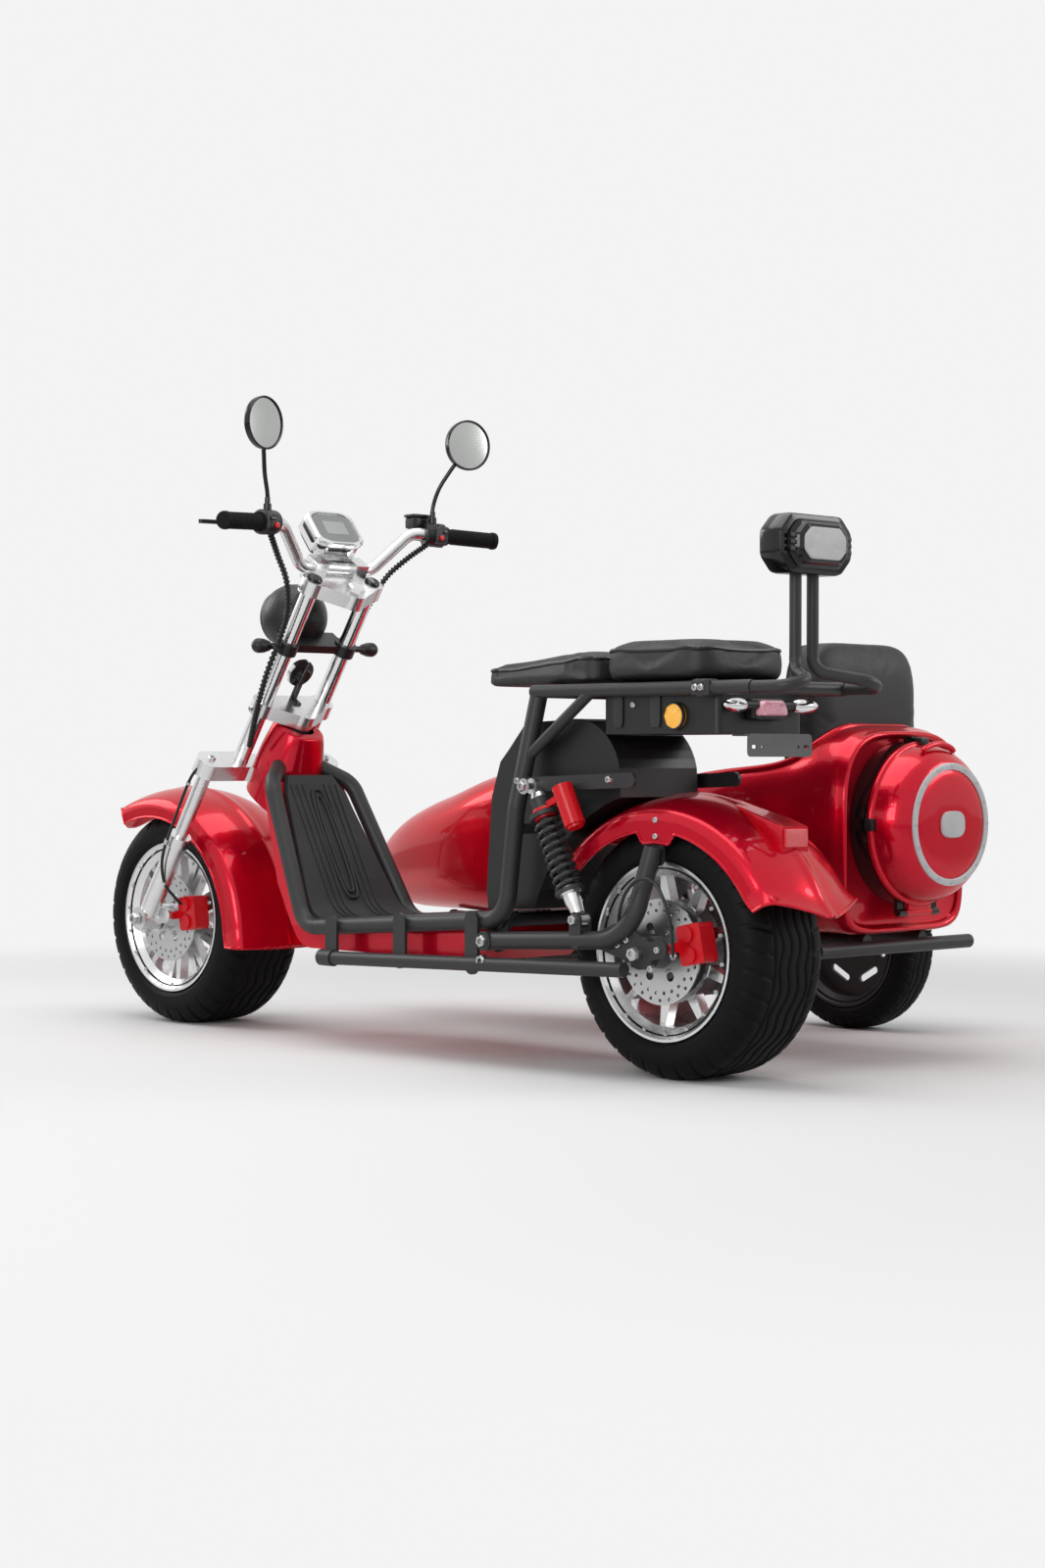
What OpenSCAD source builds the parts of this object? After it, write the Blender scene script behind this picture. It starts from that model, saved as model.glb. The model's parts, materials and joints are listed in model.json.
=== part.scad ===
// Electric scooter with a seat for two and a boat-shaped passenger sidecar on its right side.
// X points forward, Y to the rider's left and Z up. Lengths are in millimetres, angles in degrees.
// Pieces are drawn from a point on the ground under the rear axle, then moved so that the origin
// is under the middle of the whole vehicle.

/* [Wheels] */
// Distance between the front and rear axles
wheelbase = 1500; // [1450:5:1550]
// Outer diameter of the front and rear tyres
tyre_d = 477; // [465:1:485]
// Width of the front and rear tyres
tyre_w = 206; // [198:1:214]
// Width of the front and rear rims over their lips
rim_w = 194; // [188:1:198]
// Diameter of the front and rear rims at the bead seat
bead_d = 305; // [300:1:308]
// Height of a rim lip over the bead seat
lip_h = 14; // [10:0.5:16]
// Diameter of the front and rear axles
axle_d = 16; // [14:0.5:18]
// Number of spokes in an alloy wheel
spoke_count = 9; // [7:1:11]
// Outer diameter of the sidecar tyre
side_tyre_d = 376; // [360:1:390]
// Width of the sidecar tyre
side_tyre_w = 104; // [96:1:112]
// Diameter of the sidecar rim at the bead seat
side_bead_d = 254; // [248:1:260]
// Distance of the sidecar wheel to the right of the scooter's middle
side_track = 946; // [930:1:970]
// Distance of the sidecar wheel ahead of the rear axle
side_lead = 381; // [360:1:400]

/* [Brakes] */
// Outer diameter of the brake discs
disc_d = 196; // [180:1:204]
// Thickness of the brake discs
disc_t = 4; // [3:0.5:5]

/* [Fork] */
// Lean of the steering axis from upright
rake = 33.5; // [32:0.5:35]
// Distance of the steering axis behind the fork tubes
fork_offset = 44; // [42:1:46]
// Diameter of the upper fork tubes
tube_d = 35; // [32:0.5:37]
// Sideways distance of the upper tubes from the middle
tube_y = 80; // [77:1:83]
// Length of the fork from the axle to the top of the tubes
fork_len = 880; // [870:1:900]
// Diameter of the lower fork stanchions
stanchion_d = 31; // [29:0.5:33]
// Sideways distance of the lower legs from the middle
leg_y = 160; // [157:1:163]
// Diameter of the sliders
slider_d = 44; // [41:0.5:46]
// Height of the slider collars above the axle
slider_len = 225; // [215:1:235]
// Height of the underside of the fork arms above the axle
arm_w = 388; // [384:1:394]

/* [Handlebar] */
// Diameter of the handlebar
bar_d = 26; // [24:0.5:28]
// Half of the width of the handlebar over its ends
bar_half = 375; // [360:1:390]
// Height of the bend below the grips
bar_rise_z = 1085; // [1070:1:1095]
// Length of a grip
grip_len = 122; // [112:1:130]
// Diameter of the mirrors
mirror_d = 108; // [100:1:116]

/* [Frame] */
// Diameter of the main frame tubes
frame_d = 34; // [30:0.5:36]
// Sideways distance of the floor tubes from the middle
frame_y = 150; // [147:1:153]
// Diameter of the seat rails
rail_d = 26; // [24:0.5:28]
// Height of the seat rails
rail_z = 722; // [714:1:726]
// Thickness of the footboard
board_t = 12; // [10:0.5:14]
// Diameter of the side guard tubes
guard_d = 28; // [25:0.5:30]
// Diameter of the swingarm tubes
arm_d = 35; // [32:0.5:36]
// Wire diameter of the shock springs
spring_wire_d = 8; // [7:0.25:9]
// Turns in a shock spring
spring_turns = 9; // [7:1:11]

/* [Fenders] */
// Outer radius of the fender crowns
fender_r = 335; // [330:1:340]
// Width of the fenders
fender_w = 240; // [234:1:250]
// Depth of the fender sides below the crown
fender_depth = 66; // [60:1:70]
// Thickness of the fender metal
fender_t = 3; // [2.5:0.25:4]

/* [Seats] */
// Length of the driver's seat
driver_seat_len = 378; // [360:1:385]
// Width of the driver's seat at its back
driver_seat_w = 250; // [230:1:270]
// Length of the passenger's seat
pillion_len = 318; // [300:1:330]
// Width of the passenger's seat
pillion_w = 268; // [250:1:290]
// Thickness of the passenger's seat
pillion_t = 70; // [60:1:80]
// Width of the backrest pad
back_pad_w = 250; // [230:1:270]
// Height of the backrest pad
back_pad_h = 108; // [100:1:116]

/* [Sidecar] */
// Distance of the sidecar's middle to the right of the scooter's middle
side_y = 495; // [490:1:505]
// Width of the sidecar body
side_w = 392; // [380:1:400]
// Thickness of the sidecar body's wall
side_wall = 12; // [9:0.5:14]
// Length of the cockpit opening
cockpit_len = 770; // [740:1:790]
// Width of the cockpit opening
cockpit_w = 330; // [315:1:338]
// Diameter of the sidecar frame tubes
side_tube_d = 28; // [25:0.5:30]

/* [Trunk] */
// Diameter of the round trunk's base
trunk_d = 322; // [310:1:330]
// Depth of the trunk's base
trunk_base_t = 38; // [32:1:42]
// Depth of the domed lid
trunk_lid_t = 84; // [76:1:92]

/* [Hidden] */
$fn = 48;

// Gap between two pieces that are fastened together
seat_gap = 0.3;
// Radial gap of an axle in a turning hub
hub_gap = 0.4;
// Smallest room around something that turns
run_gap = 6;
// Extra length that makes joined shapes and cuts overlap
lap = 1;
// Small step that keeps a straight edge from just grazing a round end
edge_step = 0.15;

paint_red = [0.55, 0.02, 0.05];
satin_black = [0.08, 0.08, 0.09];
dark_grey = [0.2, 0.2, 0.21];
rubber_black = [0.05, 0.05, 0.05];
bright_metal = [0.82, 0.82, 0.84];

// Wheel sizes
tyre_r = tyre_d / 2;
bead_r = bead_d / 2;
lip_r = bead_r + lip_h;
lip_t = 8;
barrel_r = bead_r - 12;
axle_r = axle_d / 2;
side_tyre_r = side_tyre_d / 2;
side_bead_r = side_bead_d / 2;
hub_half = 132;
hub_r = 30;
spoke_face = 66;
spoke_t = 22;
disc_y = 98;
disc_seat = disc_y - disc_t / 2 - seat_gap;
caliper_lug_r = 46;
front_caliper_angle = 188;
rear_caliper_angle = 192;
motor_r = 86;
motor_half = 52;

// Fork heights above the front axle, along the steering axis
slider_drop = 26;
arm_t = 36;
head_low = arm_w + arm_t + seat_gap;
head_len = 120;
head_high = head_low + head_len;
middle_yoke_w = head_high + seat_gap;
yoke_t = 32;
top_yoke_w = fork_len - yoke_t;
stem_r = 12.5;
head_r = 27;
neck_r = 56;
neck_half = 66;
tube_r = tube_d / 2;
stanchion_r = stanchion_d / 2;
slider_r = slider_d / 2;
collar_r = slider_r + 3;
collar_h = 26;
lamp_clamp_w = 700;
lamp_clamp_h = 26;
lamp_clamp_r = tube_r + 7;

// Handlebar
bar_r = bar_d / 2;
riser_u = 37;
riser_w = fork_len + 9 + bar_r - 13;
riser_y = 55;
riser_half = 17;
riser_depth = 20;
bar_bend = 45;
bar_rise_y = 180;
bar_rise_x = wheelbase - 500;
bar_end_x = wheelbase - 555;
bar_end_z = 1075;
grip_r = 16.5;
pod_r = 21;
pod_len = 46;
mirror_stem_r = 4.5;

// A point of the fork's own frame: forward, left and up along the steering axis
function fork_point(u, y, w) = [
    wheelbase + u * cos(rake) - w * sin(rake),
    y,
    tyre_r + u * sin(rake) + w * cos(rake)
];
bar_low = fork_point(riser_u, riser_y + 42, riser_w);
bar_rise = [bar_rise_x, bar_rise_y, bar_rise_z];
bar_end = [bar_end_x, bar_half, bar_end_z];
bar_straight = norm(bar_end - bar_rise);
pod_z = bar_straight - grip_len - pod_len - seat_gap;
lever_y = -58;
lever_reach = 24;
mirror_foot_z = pod_z + 18;
mirror_middle = [wheelbase - 568, 284, 1278];

// Frame corners on the left side, from the head tube to the seat
frame_r = frame_d / 2;
frame_bend = 62;
head_joint = fork_point(-fork_offset - 14, 20, head_low + 46);
shield_corner = [wheelbase - 382, 112, 540];
floor_front = [wheelbase - 538, frame_y, 243];
floor_rear = [358, frame_y, 283];
upright_mid = [328, frame_y, 500];
upright_top = [294, 122, rail_z];
frame_path = [head_joint, shield_corner, floor_front, floor_rear, upright_mid, upright_top];
rail_r = rail_d / 2;
rail_y = 130;
rail_end_x = -250;
strap_r = 10;
seat_bottom = rail_z + rail_r + seat_gap;

// Seats, seat box and backrest
pillion_front = 150;
driver_back = pillion_front + 4 - seat_gap;
box_back = -158;
box_front = 132;
box_low = 640;
box_half = rail_y - rail_r - seat_gap;
plate_hole_dy = 100;
plate_hole_r = 3.2;
plate_hole_z = 616;
plate_back = box_back - 46;
pad_low = 926;
pad_x = -258;
hoop_x = -392;
hoop_bend = 32;
hoop_end_x = -346;

// Footboard: a sloping floor that turns up into the leg shield
board_rear = [392, 294];
floor_heading = -3.8;
shield_heading = 61.5;
board_bend = 78;
floor_len = wheelbase - 980;
shield_len = 330;
board_half = frame_y - frame_r - 1.5;
rib_places = [-62, -46, -30, 30, 46, 62];

// Swingarm and shocks
arm_r = arm_d / 2;
pivot = [391, leg_y, 243];
arm_corner = [22, leg_y, 262];
arm_top = [-8, 127, 432];
arm_bend = 88;
arm_boss_half = arm_r + 1.5;
pivot_r = 9;
axle_plate_y = 147;
axle_plate_t = 8;
shock_low = [147, leg_y, 294];
shock_high = [268, leg_y, 542];
strap_front = [upright_mid.x - 4, shock_high.z + 2];
strap_rear = [34, shock_high.z + 13];
shock_pin_r = 6;
shock_eye_r = 13;
shock_eye_half = 9;
shock_len = norm(shock_high - shock_low);
spring_r = 24;
spring_low = 66;
spring_high = 206;
damper_r = 12;
shock_rod_r = 7;
shock_cap_r = 19;
reservoir_r = 20;
ear_t = 4;

// Fenders
fender_drop = 45;
front_fender_lead = 42;
fender_half = fender_w / 2;
fender_lip = 6;
fender_shoulder = 52;
crown_drop = 5;
tab_low = 440;
tab_half = 35;
front_fender_span = [45, 182];
rear_fender_span = [45, 160];
front_fender_middle = [wheelbase + front_fender_lead, tyre_r - fender_drop];
rear_fender_middle = [0, tyre_r - fender_drop];

// Sidecar
rail_side_z = 237;
side_tube_r = side_tube_d / 2;
side_rail_dy = 88;
side_floor_z = rail_side_z + side_tube_r + seat_gap;
side_back_x = -95;
cockpit_x = -30;
bumper_x = -80;
bumper_z = 225;
guard_r = guard_d / 2;
guard_y = frame_y + frame_r + guard_r - 6;
guard_z = 186;
guard_front = wheelbase - 650;
stub_r = 9;
side_fender_r = side_tyre_r + 34;
side_fender_half = side_tyre_w / 2 + 12;
cushion_half = cockpit_w / 2 - 16;
cushion_low = side_floor_z + side_wall + 9;
side_hub_half = 42;
// Sections of the sidecar body from tail to nose
SECTION_X = 0;
SECTION_HALF = 1;
SECTION_LOW = 2;
SECTION_HIGH = 3;
SECTION_POWER = 4;
side_half = side_w / 2;
side_sections = [
    [side_back_x, side_half - 12, side_floor_z + 6, 610, 7],
    [side_back_x + 14, side_half, side_floor_z, 640, 7],
    [side_back_x + 55, side_half, side_floor_z, 662, 6],
    [40, side_half, side_floor_z, 640, 6],
    [240, side_half, side_floor_z, 606, 6],
    [500, side_half, side_floor_z, 596, 5.5],
    [760, side_half, side_floor_z, 600, 5],
    [950, side_half - 8, side_floor_z, 590, 4],
    [1080, side_half - 28, side_floor_z, 552, 3.4],
    [1190, side_half - 56, side_floor_z, 506, 3],
    [1300, side_half - 94, side_floor_z + 4, 452, 2.6],
    [1385, side_half - 136, side_floor_z + 26, 408, 2.3],
    [1430, side_half - 172, side_floor_z + 62, 376, 2]
];

// Trunk on the sidecar's tail
trunk_z = 468;
trunk_r = trunk_d / 2;
trunk_base_x = side_back_x - seat_gap;
trunk_lid_x = trunk_base_x - trunk_base_t - seat_gap;
hinge_drop = 12;
knuckle_r = 7.5;
knuckle_in = 40;
knuckle_out = 62;
trunk_pin_r = 4;
knuckle_gap = 1;

// Overall box, used to put the origin under its middle
front_end_x = front_fender_middle.x + fender_r * cos(front_fender_span[0]);
back_end_x = hoop_end_x;
left_end_y = bar_half + lever_reach;
right_end_y = -side_track - side_fender_half;
middle_x = (front_end_x + back_end_x) / 2;
middle_y = (left_end_y + right_end_y) / 2;

// Shared shapes

function unit(v) = v / norm(v);
function across(p) = [p.x, -p.y, p.z];
function arc(centre, r, from, to, n = 8) =
    [for (i = [0:n]) centre + r * [cos(from + (to - from) * i / n), sin(from + (to - from) * i / n)]];
function flip(points) = [for (i = [len(points) - 1:-1:0]) points[i]];
function mirrored(points) = [for (p = flip(points)) [p.x, -p.y]];

// Turns children so that their Z runs from a to b
module along(a, b) {
    d = b - a;
    translate(a)
        rotate([0, acos(d.z / norm(d)), atan2(d.y, d.x)])
            children();
}

module rod(a, b, r) {
    along(a, b)
        cylinder(h = norm(b - a), r = r);
}

// A tube from a point on the left side straight across to the right side
module cross_tube(p, r) {
    rod(p, across(p), r);
}

// A round elbow at the corner between two straight tubes, a hair thicker than the tubes
module elbow(before, corner, after, r, bend) {
    enter = unit(corner - before);
    leave = unit(after - corner);
    turn = acos(enter * leave);
    inward = unit(leave - enter * (enter * leave));
    middle = corner - enter * bend * tan(turn / 2) + inward * bend;
    out = -inward;
    normal = cross(out, enter);
    multmatrix([
        [out.x, enter.x, normal.x, middle.x],
        [out.y, enter.y, normal.y, middle.y],
        [out.z, enter.z, normal.z, middle.z],
        [0, 0, 0, 1]
    ])
        rotate_extrude(angle = turn)
            translate([bend, 0])
                circle(r = r + 0.3);
}

function corner_cut(path, i, bend) =
    i == 0 || i == len(path) - 1
        ? 0
        : bend * tan(acos(unit(path[i] - path[i - 1]) * unit(path[i + 1] - path[i])) / 2) - lap;

// A bent tube along a list of corners
module bent_tube(path, r, bend) {
    for (i = [0:len(path) - 2]) {
        heading = unit(path[i + 1] - path[i]);
        rod(
            path[i] + heading * corner_cut(path, i, bend),
            path[i + 1] - heading * corner_cut(path, i + 1, bend),
            r
        );
    }
    for (i = [1:1:len(path) - 2])
        elbow(path[i - 1], path[i], path[i + 1], r, bend);
}

// The children and their mirror image on the right side
module pair() {
    children();
    mirror([0, 1, 0])
        children();
}

// The fork's own frame, with Z along the steering axis from the front axle
module fork_frame() {
    translate([wheelbase, 0, tyre_r])
        rotate([0, -rake, 0])
            children();
}

// A wheel's own frame, with Z along the axle to the left
module wheel_frame(x, y, r) {
    translate([x, y, r])
        rotate([-90, 0, 0])
            children();
}

// A flat shape in the XZ plane, from y0 to y1
module side_plate(y0, y1) {
    translate([0, y1, 0])
        rotate([90, 0, 0])
            linear_extrude(height = y1 - y0)
                children();
}

// A plate along X with children drawn in the YZ plane, from x0 to x1
module cross_plate(x0, x1) {
    translate([x0, 0, 0])
        rotate([90, 0, 90])
            linear_extrude(height = x1 - x0)
                children();
}

// A bar with round ends between two points of a plane
module flat_bar(a, b, w) {
    d = b - a;
    translate(a)
        circle(r = w / 2);
    translate(b)
        circle(r = w / 2);
    translate(a)
        rotate(atan2(d.y, d.x))
            translate([0, -w / 2 + edge_step])
                square([norm(d), w - 2 * edge_step]);
}

module rounded_rect(size, r) {
    for (x = [r, size.x - r], y = [r, size.y - r])
        translate([x, y])
            circle(r = r);
    translate([r, 0])
        square([size.x - 2 * r, size.y]);
    translate([0, r])
        square([size.x, size.y - 2 * r]);
}

// A soft block with rounded edges between two corners
module soft_block(low, high, r) {
    hull()
        for (x = [low.x + r, high.x - r], y = [low.y + r, high.y - r], z = [low.z + r, high.z - r])
            translate([x, y, z])
                sphere(r = r, $fn = 16);
}

// Wheels

module tyre(outer_r, width, bead, rim_half, lip, shoulder) {
    half = width / 2;
    inside = rim_half - lip_t - seat_gap;
    left = concat(
        [[bead + seat_gap, inside], [lip + seat_gap, inside], [lip + 8, half]],
        arc([outer_r - shoulder, half - shoulder], shoulder, 90, 0)
    );
    rotate_extrude($fn = 96)
        polygon(concat(left, mirrored(left)));
}

module rim_barrel(bead, lip, half, inner) {
    bevel = 10;
    left = [
        [inner, half - 2 * bevel],
        [lip - 5, half],
        [lip, half],
        [lip, half - lip_t],
        [bead, half - lip_t]
    ];
    rotate_extrude($fn = 96)
        polygon(concat(left, mirrored(left)));
}

// Tapered spokes; a split spoke forks into two prongs at fork_r
module spokes(inner_r, root_w, split) {
    tip_w = 13;
    tip_r = barrel_r + 4;
    tip = tip_r * sin(split) + tip_w / 2;
    fork_r = 92;
    prongs = split > 0 ? [[tip_r, tip - tip_w], [fork_r, 0], [tip_r, tip_w - tip]] : [];
    for (i = [0:spoke_count - 1])
        rotate(i * 360 / spoke_count)
            translate([0, 0, spoke_face - spoke_t])
                linear_extrude(height = spoke_t)
                    polygon(concat(
                        [[inner_r - lap, root_w / 2], [tip_r, tip]],
                        prongs,
                        [[tip_r, -tip], [inner_r - lap, -root_w / 2]]
                    ));
}

module brake_disc() {
    carrier_r = disc_d / 2 - 42;
    hole_r = 3.5;
    holes = 24;
    translate([0, 0, disc_y - disc_t / 2])
        linear_extrude(height = disc_t)
            difference() {
                circle(r = disc_d / 2, $fn = 96);
                circle(r = hub_r + seat_gap);
                for (i = [0:holes - 1], row = [0, 1])
                    rotate((i + row / 2) * 360 / holes)
                        translate([disc_d / 2 - 9 - 13 * row, 0])
                            circle(r = hole_r, $fn = 16);
                for (i = [0:5])
                    rotate(i * 60)
                        translate([carrier_r - 5, 0])
                            circle(r = 9);
            }
}

// Caliper in the wheel's frame, reaching over the disc's edge at the given angle
module caliper(angle, plate_y, plate_r) {
    low = disc_y - 17;
    high = disc_y + 21;
    slot_half = disc_t / 2 + 5;
    reach = disc_d / 2 + 24;
    foot = disc_d / 2 - 34;
    half = 37;
    difference() {
        rotate(angle)
            union() {
                translate([foot, -half, low])
                    linear_extrude(height = high - low)
                        rounded_rect([reach - foot, 2 * half], 9);
                for (y = [-19, 19])
                    translate([disc_d / 2 - 8, y, high - lap])
                        cylinder(r = 15, h = 5 + lap);
                translate([plate_r, -9, high - 8])
                    cube([foot - plate_r + lap, 18, 8]);
                translate([plate_r, 0, high - 8])
                    cylinder(r = 9, h = plate_y - seat_gap - high + 8);
            }
        translate([0, 0, disc_y - slot_half])
            cylinder(r = disc_d / 2 + 6, h = 2 * slot_half);
    }
}

module front_tyre() {
    color(rubber_black)
        wheel_frame(wheelbase, 0, tyre_r)
            tyre(tyre_r, tyre_w, bead_r, rim_w / 2, lip_r, 46);
}

module rear_tyre() {
    color(rubber_black)
        wheel_frame(0, 0, tyre_r)
            tyre(tyre_r, tyre_w, bead_r, rim_w / 2, lip_r, 46);
}

module front_rim() {
    color(bright_metal)
        wheel_frame(wheelbase, 0, tyre_r)
            difference() {
                union() {
                    rim_barrel(bead_r, lip_r, rim_w / 2, barrel_r);
                    spokes(hub_r + 21, 33, 6);
                    translate([0, 0, -hub_half])
                        cylinder(r = hub_r, h = 2 * hub_half);
                    translate([0, 0, spoke_face - spoke_t - 8])
                        cylinder(r = hub_r + 22, h = disc_seat - spoke_face + spoke_t + 8);
                }
                cylinder(r = axle_r + hub_gap, h = 3 * hub_half, center = true);
            }
}

module rear_rim() {
    ring_r = motor_r + seat_gap;
    color(bright_metal)
        wheel_frame(0, 0, tyre_r) {
            rim_barrel(bead_r, lip_r, rim_w / 2, barrel_r);
            difference() {
                union() {
                    spokes(ring_r + 6, 24, 0);
                    translate([0, 0, spoke_face - spoke_t - 12])
                        cylinder(r = ring_r + 9, h = spoke_t + 14);
                }
                cylinder(r = ring_r, h = 3 * hub_half, center = true);
            }
        }
}

module hub_motor() {
    color(dark_grey)
        wheel_frame(0, 0, tyre_r)
            difference() {
                union() {
                    translate([0, 0, -motor_half])
                        cylinder(r = motor_r, h = motor_half + spoke_face);
                    translate([0, 0, -hub_half])
                        cylinder(r = hub_r, h = 2 * hub_half);
                    translate([0, 0, spoke_face - lap])
                        cylinder(r = hub_r + 22, h = disc_seat - spoke_face + lap);
                }
                cylinder(r = axle_r + hub_gap, h = 3 * hub_half, center = true);
            }
}

module front_disc() {
    color("silver")
        wheel_frame(wheelbase, 0, tyre_r)
            brake_disc();
}

module rear_disc() {
    color("silver")
        wheel_frame(0, 0, tyre_r)
            brake_disc();
}

module sidecar_tyre() {
    color(rubber_black)
        wheel_frame(side_lead, -side_track, side_tyre_r)
            tyre(side_tyre_r, side_tyre_w, side_bead_r, side_tyre_w / 2 - 4, side_bead_r + 12, 30);
}

module sidecar_rim() {
    slots = 6;
    web_t = 8;
    slot_r = 78;
    color(satin_black)
        wheel_frame(side_lead, -side_track, side_tyre_r)
            difference() {
                union() {
                    rim_barrel(side_bead_r, side_bead_r + 12, side_tyre_w / 2 - 4, side_bead_r - 10);
                    translate([0, 0, -web_t / 2])
                        cylinder(r = side_bead_r - 6, h = web_t);
                    translate([0, 0, -side_hub_half])
                        cylinder(r = 28, h = 2 * side_hub_half);
                }
                cylinder(r = stub_r + hub_gap, h = 3 * side_hub_half, center = true);
                for (i = [0:slots - 1])
                    rotate(i * 360 / slots)
                        translate([slot_r, 0, -web_t])
                            linear_extrude(height = 2 * web_t)
                                flat_bar([0, -20], [0, 20], 16);
            }
}

module front_axle() {
    half = leg_y + slider_r + 8;
    color(bright_metal)
        wheel_frame(wheelbase, 0, tyre_r)
            cylinder(r = axle_r, h = 2 * half, center = true);
}

module rear_axle() {
    half = axle_plate_y + axle_plate_t + 16;
    color(bright_metal)
        wheel_frame(0, 0, tyre_r)
            cylinder(r = axle_r, h = 2 * half, center = true);
}

module front_caliper() {
    color("red")
        wheel_frame(wheelbase, 0, tyre_r)
            caliper(front_caliper_angle, leg_y - slider_r, caliper_lug_r);
}

module rear_caliper() {
    color("red")
        wheel_frame(0, 0, tyre_r)
            caliper(rear_caliper_angle, axle_plate_y, caliper_lug_r);
}

// Fork and steering

module stem_lobes(r) {
    pair()
        translate([0, tube_y])
            circle(r = r);
    translate([-fork_offset, 0])
        circle(r = stem_r + 16);
    polygon([
        [r * 0.8, tube_y],
        [-r * 0.8, tube_y + 8],
        [-fork_offset - stem_r - 8, 18],
        [-fork_offset - stem_r - 8, -18],
        [-r * 0.8, -tube_y - 8],
        [r * 0.8, -tube_y]
    ]);
}

module tube_bores(extra) {
    pair()
        translate([0, tube_y, -tyre_d])
            cylinder(r = tube_r + extra, h = 4 * tyre_d);
}

module fork_arms() {
    depth = arm_t - 9;
    color(bright_metal)
        fork_frame()
            difference() {
                union() {
                    translate([0, 0, arm_w])
                        linear_extrude(height = arm_t)
                            union() {
                                stem_lobes(tube_r + 10);
                                pair()
                                    flat_bar([0, tube_y], [0, leg_y], 2 * stanchion_r + 32);
                            }
                    translate([-fork_offset, 0, arm_w + arm_t - lap])
                        cylinder(r = stem_r, h = middle_yoke_w + yoke_t - arm_w - arm_t + lap);
                }
                tube_bores(seat_gap);
                pair()
                    translate([0, leg_y, arm_w - lap])
                        cylinder(r = stanchion_r + seat_gap, h = depth + lap);
            }
}

module fork_tubes() {
    color("white")
        fork_frame()
            pair()
                translate([0, tube_y, arm_w - 4])
                    cylinder(r = tube_r, h = fork_len - arm_w + 4);
}

module fork_legs() {
    color(bright_metal) {
        difference() {
            union() {
                fork_frame()
                    pair()
                        translate([0, leg_y, 0])
                            slider_and_stanchion();
                wheel_frame(wheelbase, 0, tyre_r)
                    translate([0, 0, leg_y - slider_r])
                        linear_extrude(height = 9)
                            rotate(front_caliper_angle)
                                flat_bar([0, 0], [caliper_lug_r + 4, 0], 32);
            }
            wheel_frame(wheelbase, 0, tyre_r)
                cylinder(r = axle_r + seat_gap, h = 4 * leg_y, center = true);
        }
    }
}

module slider_and_stanchion() {
    translate([0, 0, slider_len - lap])
        cylinder(r = stanchion_r, h = arm_w + arm_t - 9 - slider_len);
    translate([0, 0, -slider_drop])
        cylinder(r = slider_r, h = slider_len + slider_drop);
    translate([0, 0, slider_len - collar_h])
        cylinder(r = collar_r, h = collar_h);
    rotate([90, 0, 0])
        cylinder(r = slider_r + 4, h = 2 * slider_r + 3, center = true);
}

module yokes() {
    color(bright_metal)
        fork_frame() {
            difference() {
                translate([0, 0, middle_yoke_w])
                    linear_extrude(height = yoke_t)
                        stem_lobes(tube_r + 9);
                tube_bores(seat_gap);
                translate([-fork_offset, 0, middle_yoke_w - lap])
                    cylinder(r = stem_r + seat_gap, h = yoke_t + 2 * lap);
            }
            difference() {
                union() {
                    translate([0, 0, top_yoke_w])
                        linear_extrude(height = yoke_t)
                            stem_lobes(tube_r + 9);
                    pair()
                        translate([riser_u - riser_depth, riser_y - riser_half, top_yoke_w + 6])
                            cube([2 * riser_depth, 2 * riser_half, riser_w + 14 - top_yoke_w]);
                }
                tube_bores(seat_gap);
                translate([riser_u, 0, riser_w])
                    rotate([90, 0, 0])
                        cylinder(r = bar_r + seat_gap, h = 4 * riser_y, center = true);
            }
        }
}

module handlebar() {
    color(bright_metal)
        bent_tube(
            [bar_end, bar_rise, bar_low, across(bar_low), across(bar_rise), across(bar_end)],
            bar_r, bar_bend
        );
}

// The outer straight of the bar, Z outwards from its bend: X points down and Y back
module grip_frame() {
    along(bar_rise, bar_end)
        children();
}

module grips() {
    color(rubber_black)
        pair()
            grip_frame()
                translate([0, 0, bar_straight - grip_len])
                    difference() {
                        union() {
                            cylinder(r = grip_r, h = grip_len);
                            cylinder(r = grip_r + 4, h = 5);
                            translate([0, 0, grip_len - 6])
                                cylinder(r = grip_r + 2.5, h = 6);
                        }
                        translate([0, 0, -lap])
                            cylinder(r = bar_r + seat_gap, h = grip_len + 2 * lap);
                    }
}

module controls() {
    color(satin_black)
        pair()
            grip_frame()
                difference() {
                    union() {
                        translate([0, 0, pod_z])
                            cylinder(r = pod_r, h = pod_len);
                        translate([-9, lever_y, pod_z + 2])
                            cube([18, -lever_y, 20]);
                        cross_plate(-4, 4) {
                            flat_bar([lever_y, pod_z + 10], [lever_y - 4, pod_z + 80], 14);
                            flat_bar([lever_y - 4, pod_z + 80], [lever_y + 4, pod_z + 172], 12);
                        }
                    }
                    translate([0, 0, -lap])
                        cylinder(r = bar_r + seat_gap, h = bar_straight + 2 * lap);
                }
}

module mirrors() {
    foot = bar_rise + unit(bar_end - bar_rise) * mirror_foot_z + [0, 0, pod_r + seat_gap];
    knee = foot + [-6, 12, 78];
    color(satin_black)
        pair() {
            bent_tube(
                [foot + [0, 0, 3], foot + [0, 0, 36], knee, mirror_middle + [12, -8, -20]],
                mirror_stem_r, 24
            );
            translate(foot + [0, 0, 0.4])
                cylinder(r = 8, h = 16);
            translate(mirror_middle)
                rotate([0, -90, -14])
                    rotate_extrude()
                        polygon(concat(
                            [[0, -16]],
                            arc([mirror_d / 2 - 16, 0], 16, -90, 0, 5),
                            [[mirror_d / 2, 6], [mirror_d / 2 - 3, 6], [mirror_d / 2 - 3, 4], [0, 4]]
                        ));
        }
}

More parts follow.
